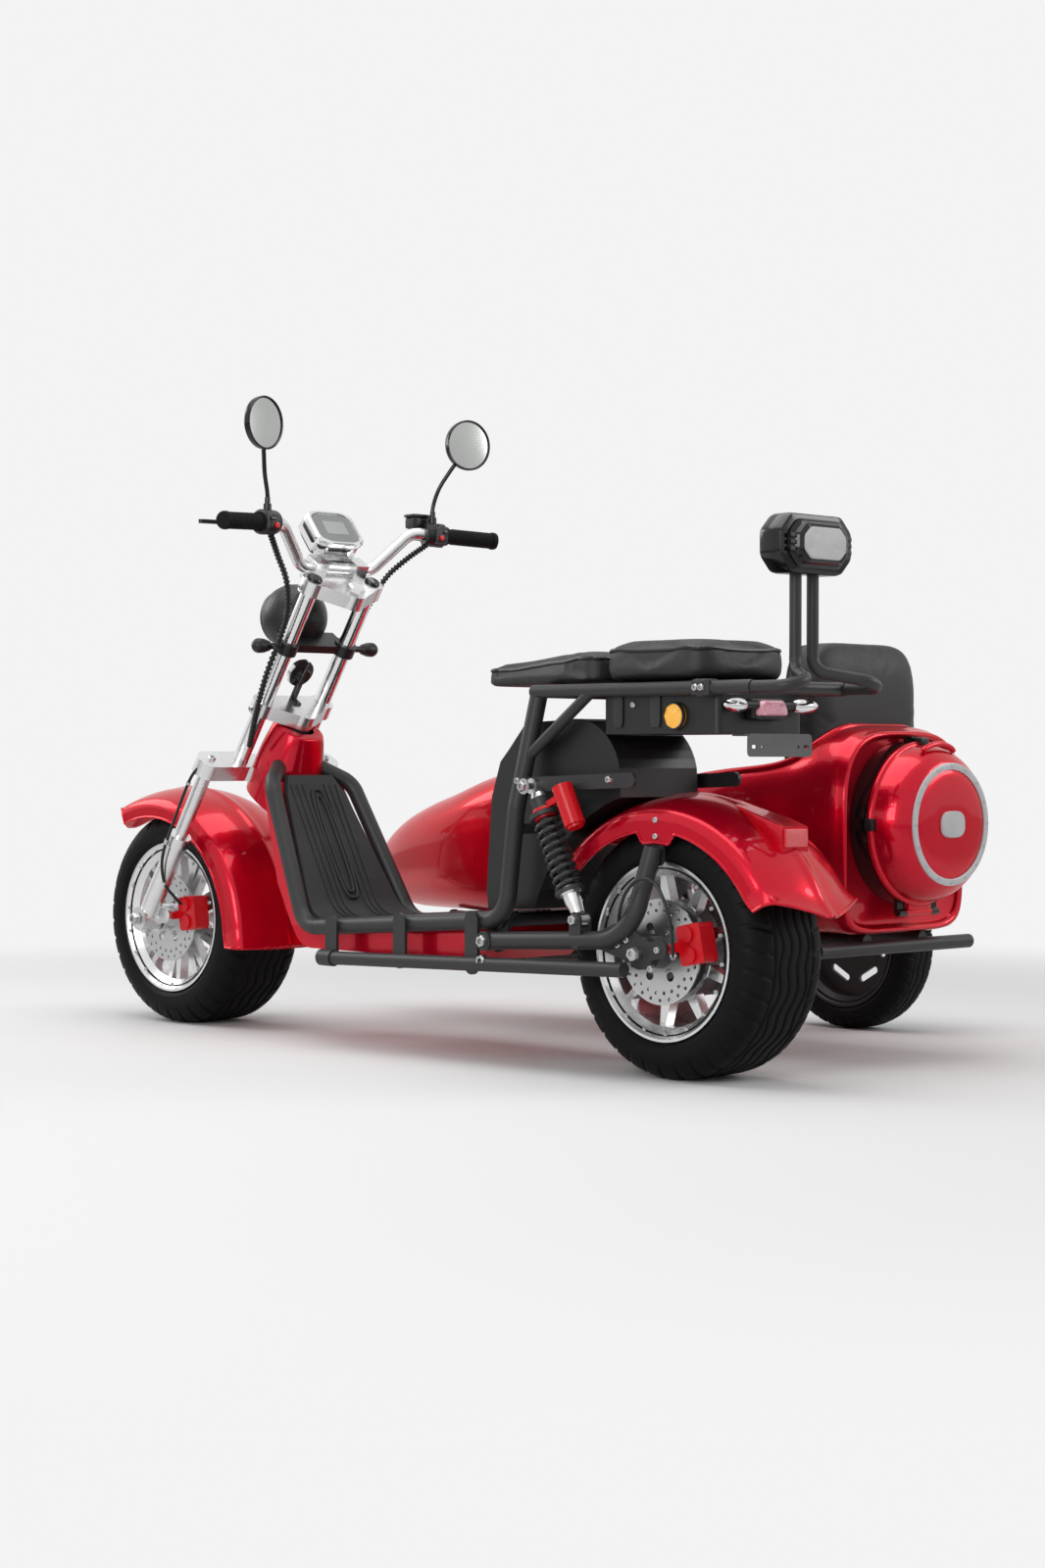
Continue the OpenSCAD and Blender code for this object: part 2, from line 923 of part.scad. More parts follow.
module speedometer() {
    face = fork_point(riser_u + 56, 0, riser_w + 52);
    color(bright_metal) {
        translate(face)
            rotate([0, -52, 0])
                translate([0, 0, -18])
                    linear_extrude(height = 36)
                        polygon(concat(
                            [[-34, -62], [-46, -36], [-46, 36], [-34, 62]],
                            [[34, 62], [46, 36], [46, -36], [34, -62]]
                        ));
        fork_frame()
            translate([riser_u + riser_depth + seat_gap, -riser_y, top_yoke_w + 10])
                cube([5, 2 * riser_y, riser_w + 48 - top_yoke_w]);
    }
}

module headlamp() {
    ball = [98, 0, lamp_clamp_w + 30];
    ball_r = 72;
    color(satin_black)
        fork_frame()
            difference() {
                union() {
                    translate(ball)
                        rotate([0, 90 + rake, 0])
                            rotate_extrude()
                                polygon(concat(
                                    [[0, -ball_r]],
                                    arc([0, 0], ball_r, -80, 35, 14),
                                    [[ball_r * cos(35), 46], [56, 48], [0, 52]]
                                ));
                    pair()
                        translate([0, tube_y, lamp_clamp_w])
                            cylinder(r = lamp_clamp_r, h = lamp_clamp_h);
                    translate([-8, -tube_y, lamp_clamp_w + 4])
                        cube([60, 2 * tube_y, lamp_clamp_h - 8]);
                }
                tube_bores(seat_gap);
            }
}

module horn() {
    horn_r = 31;
    foot = middle_yoke_w + yoke_t + seat_gap;
    horn_w = foot + 63;
    color(satin_black)
        fork_frame() {
            translate([12, 0, horn_w])
                rotate([0, 90, 0])
                    rotate_extrude()
                        polygon([
                            [0, -16], [14, -16], [18, -6], [horn_r, -2], [horn_r, 8], [24, 12], [0, 12]
                        ]);
            translate([2, -8, foot])
                cube([5, 16, horn_w - foot]);
            translate([-18, -8, foot])
                cube([25, 16, 4]);
        }
}

module front_signals() {
    start = tube_y + lamp_clamp_r + seat_gap;
    color(satin_black)
        fork_frame()
            pair()
                translate([0, start, lamp_clamp_w + lamp_clamp_h / 2])
                    rotate([-90, 0, 0])
                        rotate_extrude()
                            polygon(concat(
                                [[0, 0], [7, 0], [7, 22], [11, 26], [15, 40]],
                                arc([0, 52], 16, 0, 80, 5),
                                [[0, 68]]
                            ));
}

// A fender's section, carried round its middle: upright sides, round shoulders and a low crown
module fender_band(span) {
    low = fender_r - fender_depth;
    middle = [fender_r - crown_drop - fender_shoulder, fender_half - fender_shoulder];
    function skin(inset) = concat(
        arc(middle, fender_shoulder - inset, 90, 12, 6),
        [[fender_r - crown_drop / 4 - inset, fender_half / 3]]
    );
    left = concat(
        [
            [low, fender_half - fender_t], [low, fender_half + fender_lip],
            [low + fender_t, fender_half + fender_lip], [low + fender_t + 1, fender_half]
        ],
        skin(0)
    );
    inner = skin(fender_t);
    rotate_extrude(angle = span[1] - span[0], start = span[0], $fn = 96)
        polygon(concat(left, mirrored(left), flip(mirrored(inner)), flip(inner)));
}

module front_fender() {
    foot = fork_point(0, 0, slider_len - collar_h - 14);
    edge = fork_point(0, 0, slider_len + 30);
    color(paint_red) {
        translate([front_fender_middle.x, 0, front_fender_middle.y])
            rotate([90, 0, 0])
                fender_band(front_fender_span);
        pair() {
            side_plate(fender_half - 4, fender_half + 3)
                flat_bar([foot.x, foot.z], [edge.x, edge.z], 24);
            translate([foot.x, fender_half - 2, foot.z])
                rotate([-90, 0, 0])
                    cylinder(r = 9, h = leg_y - slider_r - seat_gap - fender_half + 2);
        }
    }
}

module rear_fender() {
    color(paint_red)
        union() {
            translate([rear_fender_middle.x, 0, rear_fender_middle.y])
                rotate([90, 0, 0])
                    fender_band(rear_fender_span);
            pair()
                side_plate(fender_half - fender_t + 0.4, fender_half - 0.4)
                    polygon([
                        [arm_top.x - tab_half - 12, tab_low + 36], [arm_top.x - tab_half, tab_low],
                        [arm_top.x + tab_half, tab_low], [arm_top.x + tab_half + 12, tab_low + 36]
                    ]);
        }
}

module fender_lamp() {
    angle = 128;
    color("red")
        translate([rear_fender_middle.x, 0, rear_fender_middle.y])
            rotate([0, -angle, 0])
                difference() {
                    translate([fender_r - 6, -34, -12])
                        cube([26, 68, 24]);
                    rotate([90, 0, 0])
                        rotate_extrude($fn = 96)
                            translate([0, -60])
                                square([fender_r + seat_gap, 120]);
                }
}

// Frame

module main_frame() {
    color(satin_black)
        difference() {
            union() {
                fork_frame()
                    translate([-fork_offset, 0, head_low])
                        cylinder(r = head_r, h = head_len);
                pair() {
                    bent_tube(frame_path, frame_r, frame_bend);
                    rod([upright_top.x + 8, rail_y, rail_z], [rail_end_x, rail_y, rail_z], rail_r);
                    rod([318, 140, 590], [150, rail_y, rail_z - 4], rail_r - 2);
                    side_plate(axle_plate_y - 6, axle_plate_y + 2)
                        flat_bar(strap_front, strap_rear, 28);
                    translate([shock_high.x, axle_plate_y - lap, shock_high.z])
                        rotate([-90, 0, 0])
                            cylinder(r = shock_pin_r, h = 2 * shock_eye_half + 9);
                    side_plate(leg_y - arm_boss_half - seat_gap - 9, leg_y - arm_boss_half - seat_gap)
                        flat_bar([pivot.x, pivot.z], [floor_rear.x + 22, floor_rear.z + 8], 46);
                }
                cross_tube([rail_end_x + rail_r, rail_y, rail_z], rail_r - 1);
                cross_tube(upright_top, rail_r - 1);
                cross_tube([floor_rear.x + 20, frame_y, floor_rear.z - 2], rail_r);
                cross_tube(pivot, pivot_r);
                cross_tube([upright_mid.x, frame_y, upright_mid.z - 40], strap_r);
            }
            fork_frame()
                translate([-fork_offset, 0, head_low - lap])
                    cylinder(r = stem_r + hub_gap, h = head_len + 2 * lap);
        }
}

// Fairing round the head tube, which widens down to the apron
module neck_cover() {
    low = head_low + 14;
    high = head_high - 8;
    foot_z = shield_corner.z + 5;
    color(paint_red)
        difference() {
            hull() {
                fork_frame()
                    translate([-fork_offset, 0, low])
                        cylinder(r1 = neck_r + 4, r2 = neck_r - 6, h = high - low);
                for (y = [-neck_half, neck_half])
                    translate([wheelbase - 352, y, foot_z])
                        cylinder(r = 16, h = 14);
            }
            fork_frame()
                translate([-fork_offset, 0, low - 4 * head_len])
                    cylinder(r = head_r + seat_gap, h = 8 * head_len);
            pair()
                bent_tube([head_joint, shield_corner, floor_front], frame_r + seat_gap, frame_bend);
            footboard_strip(-40, board_t + seat_gap);
        }
}

// The strip of the footboard seen from the side, from its rear end to the shield's top
function heading(a) = [cos(a), sin(a)];
function board_face(depth, trim = 0) =
    let (
        down = [sin(floor_heading), -cos(floor_heading)],
        turn_start = board_rear + heading(floor_heading) * floor_len,
        middle = turn_start - down * board_bend,
        rise = heading(shield_heading) * (shield_len - trim),
        top = middle + heading(shield_heading - 90) * board_bend + rise
    )
    concat(
        [board_rear + heading(floor_heading) * trim + down * depth],
        arc(middle, board_bend + depth, floor_heading - 90, shield_heading - 90, 10),
        [top + heading(shield_heading - 90) * depth]
    );

// A layer of the board between two depths below its top face
module footboard_strip(from, to) {
    side_plate(-board_half, board_half)
        polygon(concat(board_face(from), flip(board_face(to))));
}

module footboard() {
    top_half = shield_corner.y - frame_r - 14;
    top = shield_corner.z + 18;
    rib_half = 3.5;
    rib_h = 3;
    color(dark_grey)
        intersection() {
            union() {
                footboard_strip(0, board_t);
                for (y = rib_places)
                    side_plate(y - rib_half, y + rib_half)
                        polygon(concat(board_face(-rib_h, 60), flip(board_face(lap, 60))));
            }
            cross_plate(board_rear.x - lap, wheelbase)
                polygon([
                    [-board_half, floor_front.z - 60], [-board_half, floor_front.z], [-top_half, top - 40],
                    [-top_half + 20, top], [top_half - 20, top],
                    [top_half, top - 40], [board_half, floor_front.z], [board_half, floor_front.z - 60]
                ]);
        }
}

// Red body under the floor, which rises in front of the leg shield as its apron
module battery_case() {
    back = 432;
    low = 198;
    top = shield_corner.z + 4;
    skin = flip(board_face(board_t + seat_gap));
    board_z = skin[len(skin) - 1].y - (back - board_rear.x) * tan(-floor_heading);
    shield_x = skin[1].x + (top + lap - skin[1].y) / tan(shield_heading);
    color(paint_red)
        difference() {
            intersection() {
                side_plate(-board_half, board_half)
                    polygon(concat(
                        [[back, low + 22], [back + 30, low], [wheelbase - 560, low]],
                        arc([wheelbase - 535, low + 62], 62, -90, -28, 6),
                        [[wheelbase - 410, 330], [wheelbase - 324, top + lap], [shield_x, top + lap]],
                        [for (k = [0:len(skin) - 2]) if (skin[k].y < top) skin[k]],
                        [[back, board_z]]
                    ));
                apron_front(low, top);
            }
            pair()
                bent_tube([head_joint, shield_corner, floor_front], frame_r + seat_gap, frame_bend);
        }
}

// What the apron and the leg shield are cut to, seen from the front
module apron_front(low, top) {
    top_half = shield_corner.y - frame_r - 4;
    cross_plate(board_rear.x - lap, wheelbase)
        polygon([
            [-board_half + 1, low - lap], [-board_half + 1, floor_front.z], [-top_half, top],
            [top_half, top], [board_half - 1, floor_front.z], [board_half - 1, low - lap]
        ]);
}

module guard_tube() {
    rod([20, guard_y, guard_z + 22], [guard_front, guard_y, guard_z], guard_r);
    rod([guard_front - 12, guard_y, guard_z], [guard_front + 28, guard_y, guard_z], guard_r + 3);
    for (x = [430, (430 + guard_front) / 2, guard_front])
        side_plate(frame_y + frame_r + seat_gap, frame_y + frame_r + seat_gap + 7)
            flat_bar([x, guard_z + 8], [x, floor_rear.z - (x - floor_rear.x) * 40 / 604 + 4], 36);
}

module side_guard() {
    color(satin_black)
        guard_tube();
}

// Housing between the uprights with an arched top; its back follows the rear fender
module controller_box() {
    half = 107;
    low = 300;
    back_r = fender_r + 7;
    color(satin_black)
        difference() {
            side_plate(-half, half)
                polygon(concat(
                    [[452, low], [456, low + 40], [442, 520], [418, 588], [394, 612], [346, 664]],
                    arc([212, 552], 118, 80, 168, 10),
                    arc(rear_fender_middle, back_r, 74, 19, 8)
                ));
            cross_tube([upright_mid.x, frame_y, upright_mid.z - 40], strap_r + seat_gap);
        }
}

module swingarm() {
    color(satin_black)
        pair() {
            difference() {
                union() {
                    bent_tube([pivot, arm_corner, arm_top], arm_r, arm_bend);
                    side_plate(axle_plate_y, axle_plate_y + axle_plate_t)
                        union() {
                            translate([0, tyre_r])
                                circle(r = 30);
                            polygon([
                                [-10, tyre_r + 24], [40, 300], [128, 264], [128, 248], [4, tyre_r - 24]
                            ]);
                            translate([0, tyre_r])
                                rotate(-rear_caliper_angle)
                                    flat_bar([0, 0], [caliper_lug_r + 4, 0], 34);
                        }
                    translate([pivot.x, leg_y - arm_boss_half, pivot.z])
                        rotate([-90, 0, 0])
                            cylinder(r = arm_r + 1.5, h = 2 * arm_boss_half);
                    for (y = [leg_y - shock_eye_half - 2 - ear_t, leg_y + shock_eye_half + 2])
                        side_plate(y, y + ear_t)
                            flat_bar([shock_low.x, 256], [shock_low.x, shock_low.z], 30);
                    translate([shock_low.x, leg_y - shock_eye_half - 4, shock_low.z])
                        rotate([-90, 0, 0])
                            cylinder(r = shock_pin_r, h = 2 * shock_eye_half + 8);
                    side_plate(fender_half - fender_t - seat_gap - 6, fender_half - fender_t - seat_gap)
                        flat_bar([arm_top.x, arm_top.z - 20], [arm_top.x, arm_top.z + 22], 30);
                }
                wheel_frame(0, 0, tyre_r)
                    cylinder(r = axle_r + seat_gap, h = 4 * leg_y, center = true);
                translate([pivot.x, 0, pivot.z])
                    rotate([90, 0, 0])
                        cylinder(r = pivot_r + seat_gap, h = 4 * leg_y, center = true);
            }
        }
}

// A round wire wound along Z
module coil(r, wire_r, low, high, turns) {
    steps = 14;
    sides = 6;
    rings = turns * steps;
    points = [
        for (i = [0:rings], k = [0:sides - 1])
            let (a = 360 * i / steps, b = 360 * k / sides, d = r + wire_r * cos(b))
                [d * cos(a), d * sin(a), low + (high - low) * i / rings + wire_r * sin(b)]
    ];
    faces = concat(
        [[for (k = [sides - 1:-1:0]) k]],
        [[for (k = [0:sides - 1]) rings * sides + k]],
        [
            for (i = [0:rings - 1], k = [0:sides - 1])
                let (a = i * sides, b = a + sides, next = (k + 1) % sides)
                    [a + k, a + next, b + next, b + k]
        ]
    );
    polyhedron(points, faces, convexity = 6);
}

module shock() {
    wire_r = spring_wire_d / 2;
    difference() {
        union() {
            for (z = [0, shock_len])
                translate([0, 0, z])
                    rotate([90, 0, 0])
                        cylinder(r = shock_eye_r, h = 2 * shock_eye_half, center = true);
            cylinder(r = shock_rod_r, h = shock_len);
            translate([0, 0, spring_low - 16])
                cylinder(r = damper_r, h = spring_high - spring_low + 24);
            translate([0, 0, spring_low - wire_r - 7])
                cylinder(r = spring_r + 6, h = 7);
            translate([0, 0, spring_high + wire_r + 0.4])
                cylinder(r = spring_r + 6, h = 9);
            translate([0, 0, spring_high + 14])
                cylinder(r = shock_cap_r, h = 30);
        }
        for (z = [0, shock_len])
            translate([0, 0, z])
                rotate([90, 0, 0])
                    cylinder(r = shock_pin_r + seat_gap, h = 4 * shock_eye_half, center = true);
    }
    coil(spring_r, wire_r, spring_low, spring_high, spring_turns);
}

// Gas reservoir on an arm behind the shock's cap, in the shock's own frame
module reservoir() {
    back = -76;
    out = 12;
    low = 160;
    length = 80;
    translate([back, out, low]) {
        cylinder(r = reservoir_r, h = length);
        translate([0, 0, -6])
            cylinder(r = reservoir_r - 5, h = 6 + lap);
    }
    translate([back, -4, low + length - 18])
        cube([-back - shock_cap_r - seat_gap, 11, 12]);
}

module shock_reservoirs() {
    color("red")
        pair()
            along(shock_low, shock_high)
                reservoir();
}

module rear_shocks() {
    color(satin_black)
        pair()
            along(shock_low, shock_high)
                shock();
}

// Seats

module driver_seat() {
    back = driver_back;
    color(dark_grey) {
        translate([back + 10, -driver_seat_w / 2 + 4, seat_bottom])
            cube([150, driver_seat_w - 8, 14]);
        hull() {
            soft_block(
                [back, -driver_seat_w / 2, seat_bottom],
                [back + 150, driver_seat_w / 2, seat_bottom + 62], 18
            );
            soft_block(
                [back + driver_seat_len - 80, -58, seat_bottom + 2],
                [back + driver_seat_len, 58, seat_bottom + 48], 18
            );
        }
    }
}

module pillion_seat() {
    color(dark_grey) {
        translate([pillion_front - pillion_len + 8, -pillion_w / 2 + 3, seat_bottom])
            cube([pillion_len - 16, pillion_w - 6, 14]);
        soft_block(
            [pillion_front - pillion_len, -pillion_w / 2, seat_bottom],
            [pillion_front, pillion_w / 2, seat_bottom + pillion_t], 16
        );
    }
}

module seat_box() {
    high = rail_z + rail_r - 2;
    color(satin_black)
        translate([box_back, -box_half, box_low])
            difference() {
                linear_extrude(height = high - box_low)
                    rounded_rect([box_front - box_back, 2 * box_half], 14);
                translate([10, 10, 10])
                    cube([box_front - box_back - 20, 2 * box_half - 20, high]);
            }
}

module reflectors() {
    color("orange")
        pair()
            translate([-55, box_half + seat_gap, 672])
                rotate([-90, 0, 0])
                    cylinder(r = 24, h = 7);
}

module rear_lamps() {
    back = box_back - seat_gap;
    color("red") {
        translate([back - 34, -40, 668])
            cube([34, 80, 32]);
        pair()
            translate([back - 18, 52, 690])
                rotate([-90, 0, 0])
                    rotate_extrude()
                        polygon(concat(
                            [[0, 0], [6, 0], [6, 22], [11, 26], [14, 38]],
                            arc([0, 50], 15, 0, 80, 5),
                            [[0, 65]]
                        ));
        pair()
            translate([back - 20, 46, 684])
                cube([20, 12, 12]);
    }
}

module plate_bracket() {
    sheet = 4;
    low = plate_hole_z - 18;
    half = 88;
    color("grey")
        difference() {
            union() {
                cross_plate(plate_back, plate_back + sheet)
                    translate([-half, low])
                        rounded_rect([2 * half, box_low - seat_gap - low], 9);
                translate([plate_back + lap, -45, box_low - seat_gap - sheet])
                    cube([76, 90, sheet]);
            }
            cross_plate(plate_back - lap, plate_back + sheet + lap)
                for (y = [-1, 1]) {
                    translate([y * plate_hole_dy / 2, plate_hole_z])
                        circle(r = plate_hole_r);
                    translate([y * 72, plate_hole_z])
                        flat_bar([-4, 0], [4, 0], 7);
                }
        }
}

module backrest_bar() {
    start = [rail_end_x - seat_gap, rail_y, rail_z];
    top = [pad_x, 24, pad_low - seat_gap];
    color(satin_black)
        pair()
            bent_tube(
                [start, [hoop_x, rail_y, rail_z], [pad_x, 24, rail_z + 30], top], rail_r - 2, hoop_bend
            );
}

module backrest_pad() {
    pad_t = 52;
    color(satin_black)
        translate([pad_x - pad_t / 2, 0, pad_low])
            rotate([90, 0, 90])
                linear_extrude(height = pad_t)
                    polygon([
                        [-back_pad_w / 2 + 30, 0], [back_pad_w / 2 - 30, 0],
                        [back_pad_w / 2, 26], [back_pad_w / 2, back_pad_h - 26],
                        [back_pad_w / 2 - 30, back_pad_h], [-back_pad_w / 2 + 30, back_pad_h],
                        [-back_pad_w / 2, back_pad_h - 26], [-back_pad_w / 2, 26]
                    ]);
}

// Sidecar

module body_slice(section, inset) {
    half = section[SECTION_HALF] - inset;
    low = section[SECTION_LOW] + inset;
    high = section[SECTION_HIGH] - inset;
    power = 2 / section[SECTION_POWER];
    steps = 28;
    function bulge(v) = sign(v) * pow(abs(v), power);
    translate([section[SECTION_X], 0, 0])
        rotate([90, 0, 90])
            linear_extrude(height = 0.1)
                polygon([
                    for (i = [0:steps - 1])
                        let (a = 360 * (i + 0.5) / steps)
                            [half * bulge(cos(a)), (low + high) / 2 + (high - low) / 2 * bulge(sin(a))]
                ]);
}

module body_loft(inset, first, last) {
    for (i = [first:last - 1])
        hull() {
            body_slice(side_sections[i], inset);
            body_slice(side_sections[i + 1], inset);
        }
}

module sidecar_body() {
    last = len(side_sections) - 1;
    nose_wall_x = side_sections[last - 2][SECTION_X];
    color(paint_red)
        translate([0, -side_y, 0])
            difference() {
                body_loft(0, 0, last);
                intersection() {
                    body_loft(side_wall, 0, last - 1);
                    translate([side_back_x + side_wall, -side_w, 0])
                        cube([nose_wall_x - side_back_x - side_wall, 2 * side_w, 1000]);
                }
                translate([cockpit_x, -cockpit_w / 2, 480])
                    linear_extrude(height = 400)
                        rounded_rect([cockpit_len, cockpit_w], 60);
            }
}

module sidecar_cushion() {
    color(dark_grey)
        soft_block(
            [108, -side_y - cushion_half, cushion_low],
            [520, -side_y + cushion_half, cushion_low + 100], 22
        );
}

module sidecar_backrest() {
    color(dark_grey)
        soft_block(
            [cockpit_x + 7, -side_y - cushion_half, cushion_low],
            [cockpit_x + 117, -side_y + cushion_half, 820], 24
        );
}

module sidecar_frame() {
    rails = [-side_y + side_rail_dy, -side_y - side_rail_dy];
    front = 1090;
    axle_tube_z = rail_side_z - 2;
    stub_in = -side_track + side_hub_half + run_gap;
    stub_out = -side_track - side_hub_half - 8;
    color(satin_black) {
        mirror([0, 1, 0])
            guard_tube();
        for (y = rails)
            rod([bumper_x, y, rail_side_z], [front, y, rail_side_z], side_tube_r);
        rod(
            [front - side_tube_r, rails[1], rail_side_z],
            [front - side_tube_r, rails[0], rail_side_z], side_tube_r - 1
        );
        rod([bumper_x, -255, bumper_z], [bumper_x, -735, bumper_z], side_tube_r);
        for (x = [180, 760])
            rod([x, -guard_y, guard_z + 10], [x, rails[0], rail_side_z - 2], side_tube_r - 2);
        rod([side_lead, rails[0], axle_tube_z], [side_lead, rails[1], axle_tube_z], side_tube_r - 1);
        rod([side_lead, rails[1] + 4, axle_tube_z], [side_lead, stub_in, side_tyre_r], side_tube_r + 2);
        rod([side_lead, stub_in + 4, side_tyre_r], [side_lead, stub_out, side_tyre_r], stub_r);
        translate([side_lead - 20, -side_track + side_fender_half + seat_gap, side_tyre_r])
            cube([40, 8, side_fender_r - 8]);
    }
}

module sidecar_fender() {
    drop = 44;
    span = [24, 168];
    section = [
        [side_fender_r - drop, side_fender_half],
        [side_fender_r - 14, side_fender_half],
        [side_fender_r - 4, side_fender_half - 8],
        [side_fender_r, side_fender_half - 24]
    ];
    function shrink(p) = [p.x - fender_t, p.y - (p.y > 0 ? fender_t : -fender_t)];
    outer = concat(section, mirrored(section));
    color(paint_red)
        translate([side_lead, -side_track, side_tyre_r])
            rotate([90, 0, 0])
                rotate_extrude(angle = span[1] - span[0], start = span[0], $fn = 96)
                    difference() {
                        polygon(outer);
                        polygon([
                            for (p = outer)
                                shrink(p.x == side_fender_r - drop ? [p.x - lap, p.y] : p)
                        ]);
                    }
}

module trunk_base() {
    color(satin_black)
        translate([trunk_base_x, -side_y, trunk_z])
            rotate([0, -90, 0])
                difference() {
                    union() {
                        cylinder(r = trunk_r, h = trunk_base_t, $fn = 96);
                        for (y = [-knuckle_out, knuckle_in])
                            translate([-trunk_r - hinge_drop, y, trunk_base_t - 9]) {
                                cube([hinge_drop + 20, knuckle_out - knuckle_in, 9]);
                                translate([0, 0, 9 + seat_gap])
                                    rotate([-90, 0, 0])
                                        cylinder(r = knuckle_r, h = knuckle_out - knuckle_in);
                            }
                        for (turn = [0, 90])
                            rotate(turn)
                                translate([trunk_r - 3, -13, trunk_base_t - 24])
                                    cube([12, 26, 20]);
                        translate([-trunk_r - hinge_drop, -knuckle_out + lap, trunk_base_t + seat_gap])
                            rotate([-90, 0, 0])
                                cylinder(r = trunk_pin_r, h = 2 * knuckle_out - 2 * lap);
                    }
                    translate([0, 0, 8])
                        cylinder(r = trunk_r - 8, h = trunk_base_t, $fn = 96);
                }
}

module trunk_lid() {
    shell = 5;
    rim = trunk_r - 4;
    function dome(r, depth) = concat(
        [[r, 0], [r, depth * 0.3]],
        arc([r - depth * 0.6, depth * 0.3], depth * 0.6, 0, 60, 6),
        [[r * 0.42, depth], [0, depth]]
    );
    half = knuckle_in - knuckle_gap;
    color(paint_red)
        translate([trunk_lid_x, -side_y, trunk_z])
            rotate([0, -90, 0])
                difference() {
                    union() {
                        rotate_extrude($fn = 96)
                            difference() {
                                polygon(concat([[0, 0]], dome(rim, trunk_lid_t)));
                                polygon(concat(
                                    [[0, -lap], [rim - shell, -lap]],
                                    dome(rim - shell, trunk_lid_t - shell)
                                ));
                            }
                        translate([-trunk_r - hinge_drop, -half, 0]) {
                            translate([0, 0, seat_gap])
                                cube([hinge_drop + 7, 2 * half, 7]);
                            rotate([-90, 0, 0])
                                cylinder(r = knuckle_r, h = 2 * half);
                        }
                    }
                    translate([-trunk_r - hinge_drop, -half - lap, 0])
                        rotate([-90, 0, 0])
                            cylinder(r = trunk_pin_r + hub_gap, h = 2 * half + 2 * lap);
                }
}

module place() {
    translate([-middle_x, -middle_y, 0])
        children();
}

place() main_frame();
place() neck_cover();
place() footboard();
place() battery_case();
place() side_guard();
place() controller_box();
place() swingarm();
place() rear_axle();
place() rear_shocks();
place() shock_reservoirs();
place() rear_fender();
place() fender_lamp();
place() rear_caliper();
place() driver_seat();
place() pillion_seat();
place() seat_box();
place() reflectors();
place() rear_lamps();
place() plate_bracket();
place() backrest_bar();
place() backrest_pad();
place() sidecar_frame();
place() sidecar_body();
place() sidecar_cushion();
place() sidecar_backrest();
place() sidecar_fender();
place() trunk_base();
place() trunk_lid();
place() yokes();
place() fork_arms();
place() fork_tubes();
place() fork_legs();
place() front_axle();
place() front_fender();
place() front_caliper();
place() handlebar();
place() grips();
place() controls();
place() mirrors();
place() speedometer();
place() headlamp();
place() horn();
place() front_signals();
place() front_tyre();
place() front_rim();
place() front_disc();
place() rear_tyre();
place() rear_rim();
place() hub_motor();
place() rear_disc();
place() sidecar_tyre();
place() sidecar_rim();
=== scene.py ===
"""Looks for an electric scooter with a passenger sidecar: finishes, soft goods and small trim."""

import json
import logging
import math
from dataclasses import dataclass
from enum import Enum
from typing import Iterable, Optional, Sequence, Union

import bmesh
import bpy
import numpy as np
from mathutils import Matrix, Vector


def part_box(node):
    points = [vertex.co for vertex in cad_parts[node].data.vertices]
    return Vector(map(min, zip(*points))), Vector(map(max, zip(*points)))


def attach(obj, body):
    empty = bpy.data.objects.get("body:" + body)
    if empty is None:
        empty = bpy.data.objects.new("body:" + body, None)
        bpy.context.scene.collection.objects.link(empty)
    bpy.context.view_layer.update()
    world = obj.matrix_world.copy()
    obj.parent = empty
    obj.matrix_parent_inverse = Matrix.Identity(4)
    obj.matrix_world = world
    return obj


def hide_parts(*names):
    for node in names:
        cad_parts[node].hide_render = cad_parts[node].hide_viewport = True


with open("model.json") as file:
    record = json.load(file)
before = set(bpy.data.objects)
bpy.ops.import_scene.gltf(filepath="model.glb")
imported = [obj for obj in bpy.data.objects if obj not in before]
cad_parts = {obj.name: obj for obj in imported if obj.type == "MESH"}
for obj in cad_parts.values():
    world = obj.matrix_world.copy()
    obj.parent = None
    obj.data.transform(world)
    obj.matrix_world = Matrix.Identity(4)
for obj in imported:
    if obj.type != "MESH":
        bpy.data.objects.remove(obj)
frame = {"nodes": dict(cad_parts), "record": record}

LOG = logging.getLogger("scooter")
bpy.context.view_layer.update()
Array = np.ndarray
Colour = tuple[float, float, float]


# Places


def middle_of(node: str) -> Array:
    """Middle of a CAD node's box, in metres."""
    low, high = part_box(node)
    return (np.array(low) + np.array(high)) / 2


REAR_AXLE = middle_of("rear_tyre")
GROUND = np.array([REAR_AXLE[0], REAR_AXLE[1], 0.0])
WHEELBASE = 1.5
AXLE_HEIGHT = 0.2385
RAKE = math.radians(33.5)


def at(x: float, y: float, z: float) -> Array:
    """Moves a point measured from the ground under the rear axle into the part's own frame.

    Args:
        x: Distance forward, in metres.
        y: Distance to the rider's left, in metres.
        z: Height, in metres.
    Returns:
        The point in the part's frame.
    """
    return GROUND + np.array([x, y, z])


# Shader maths


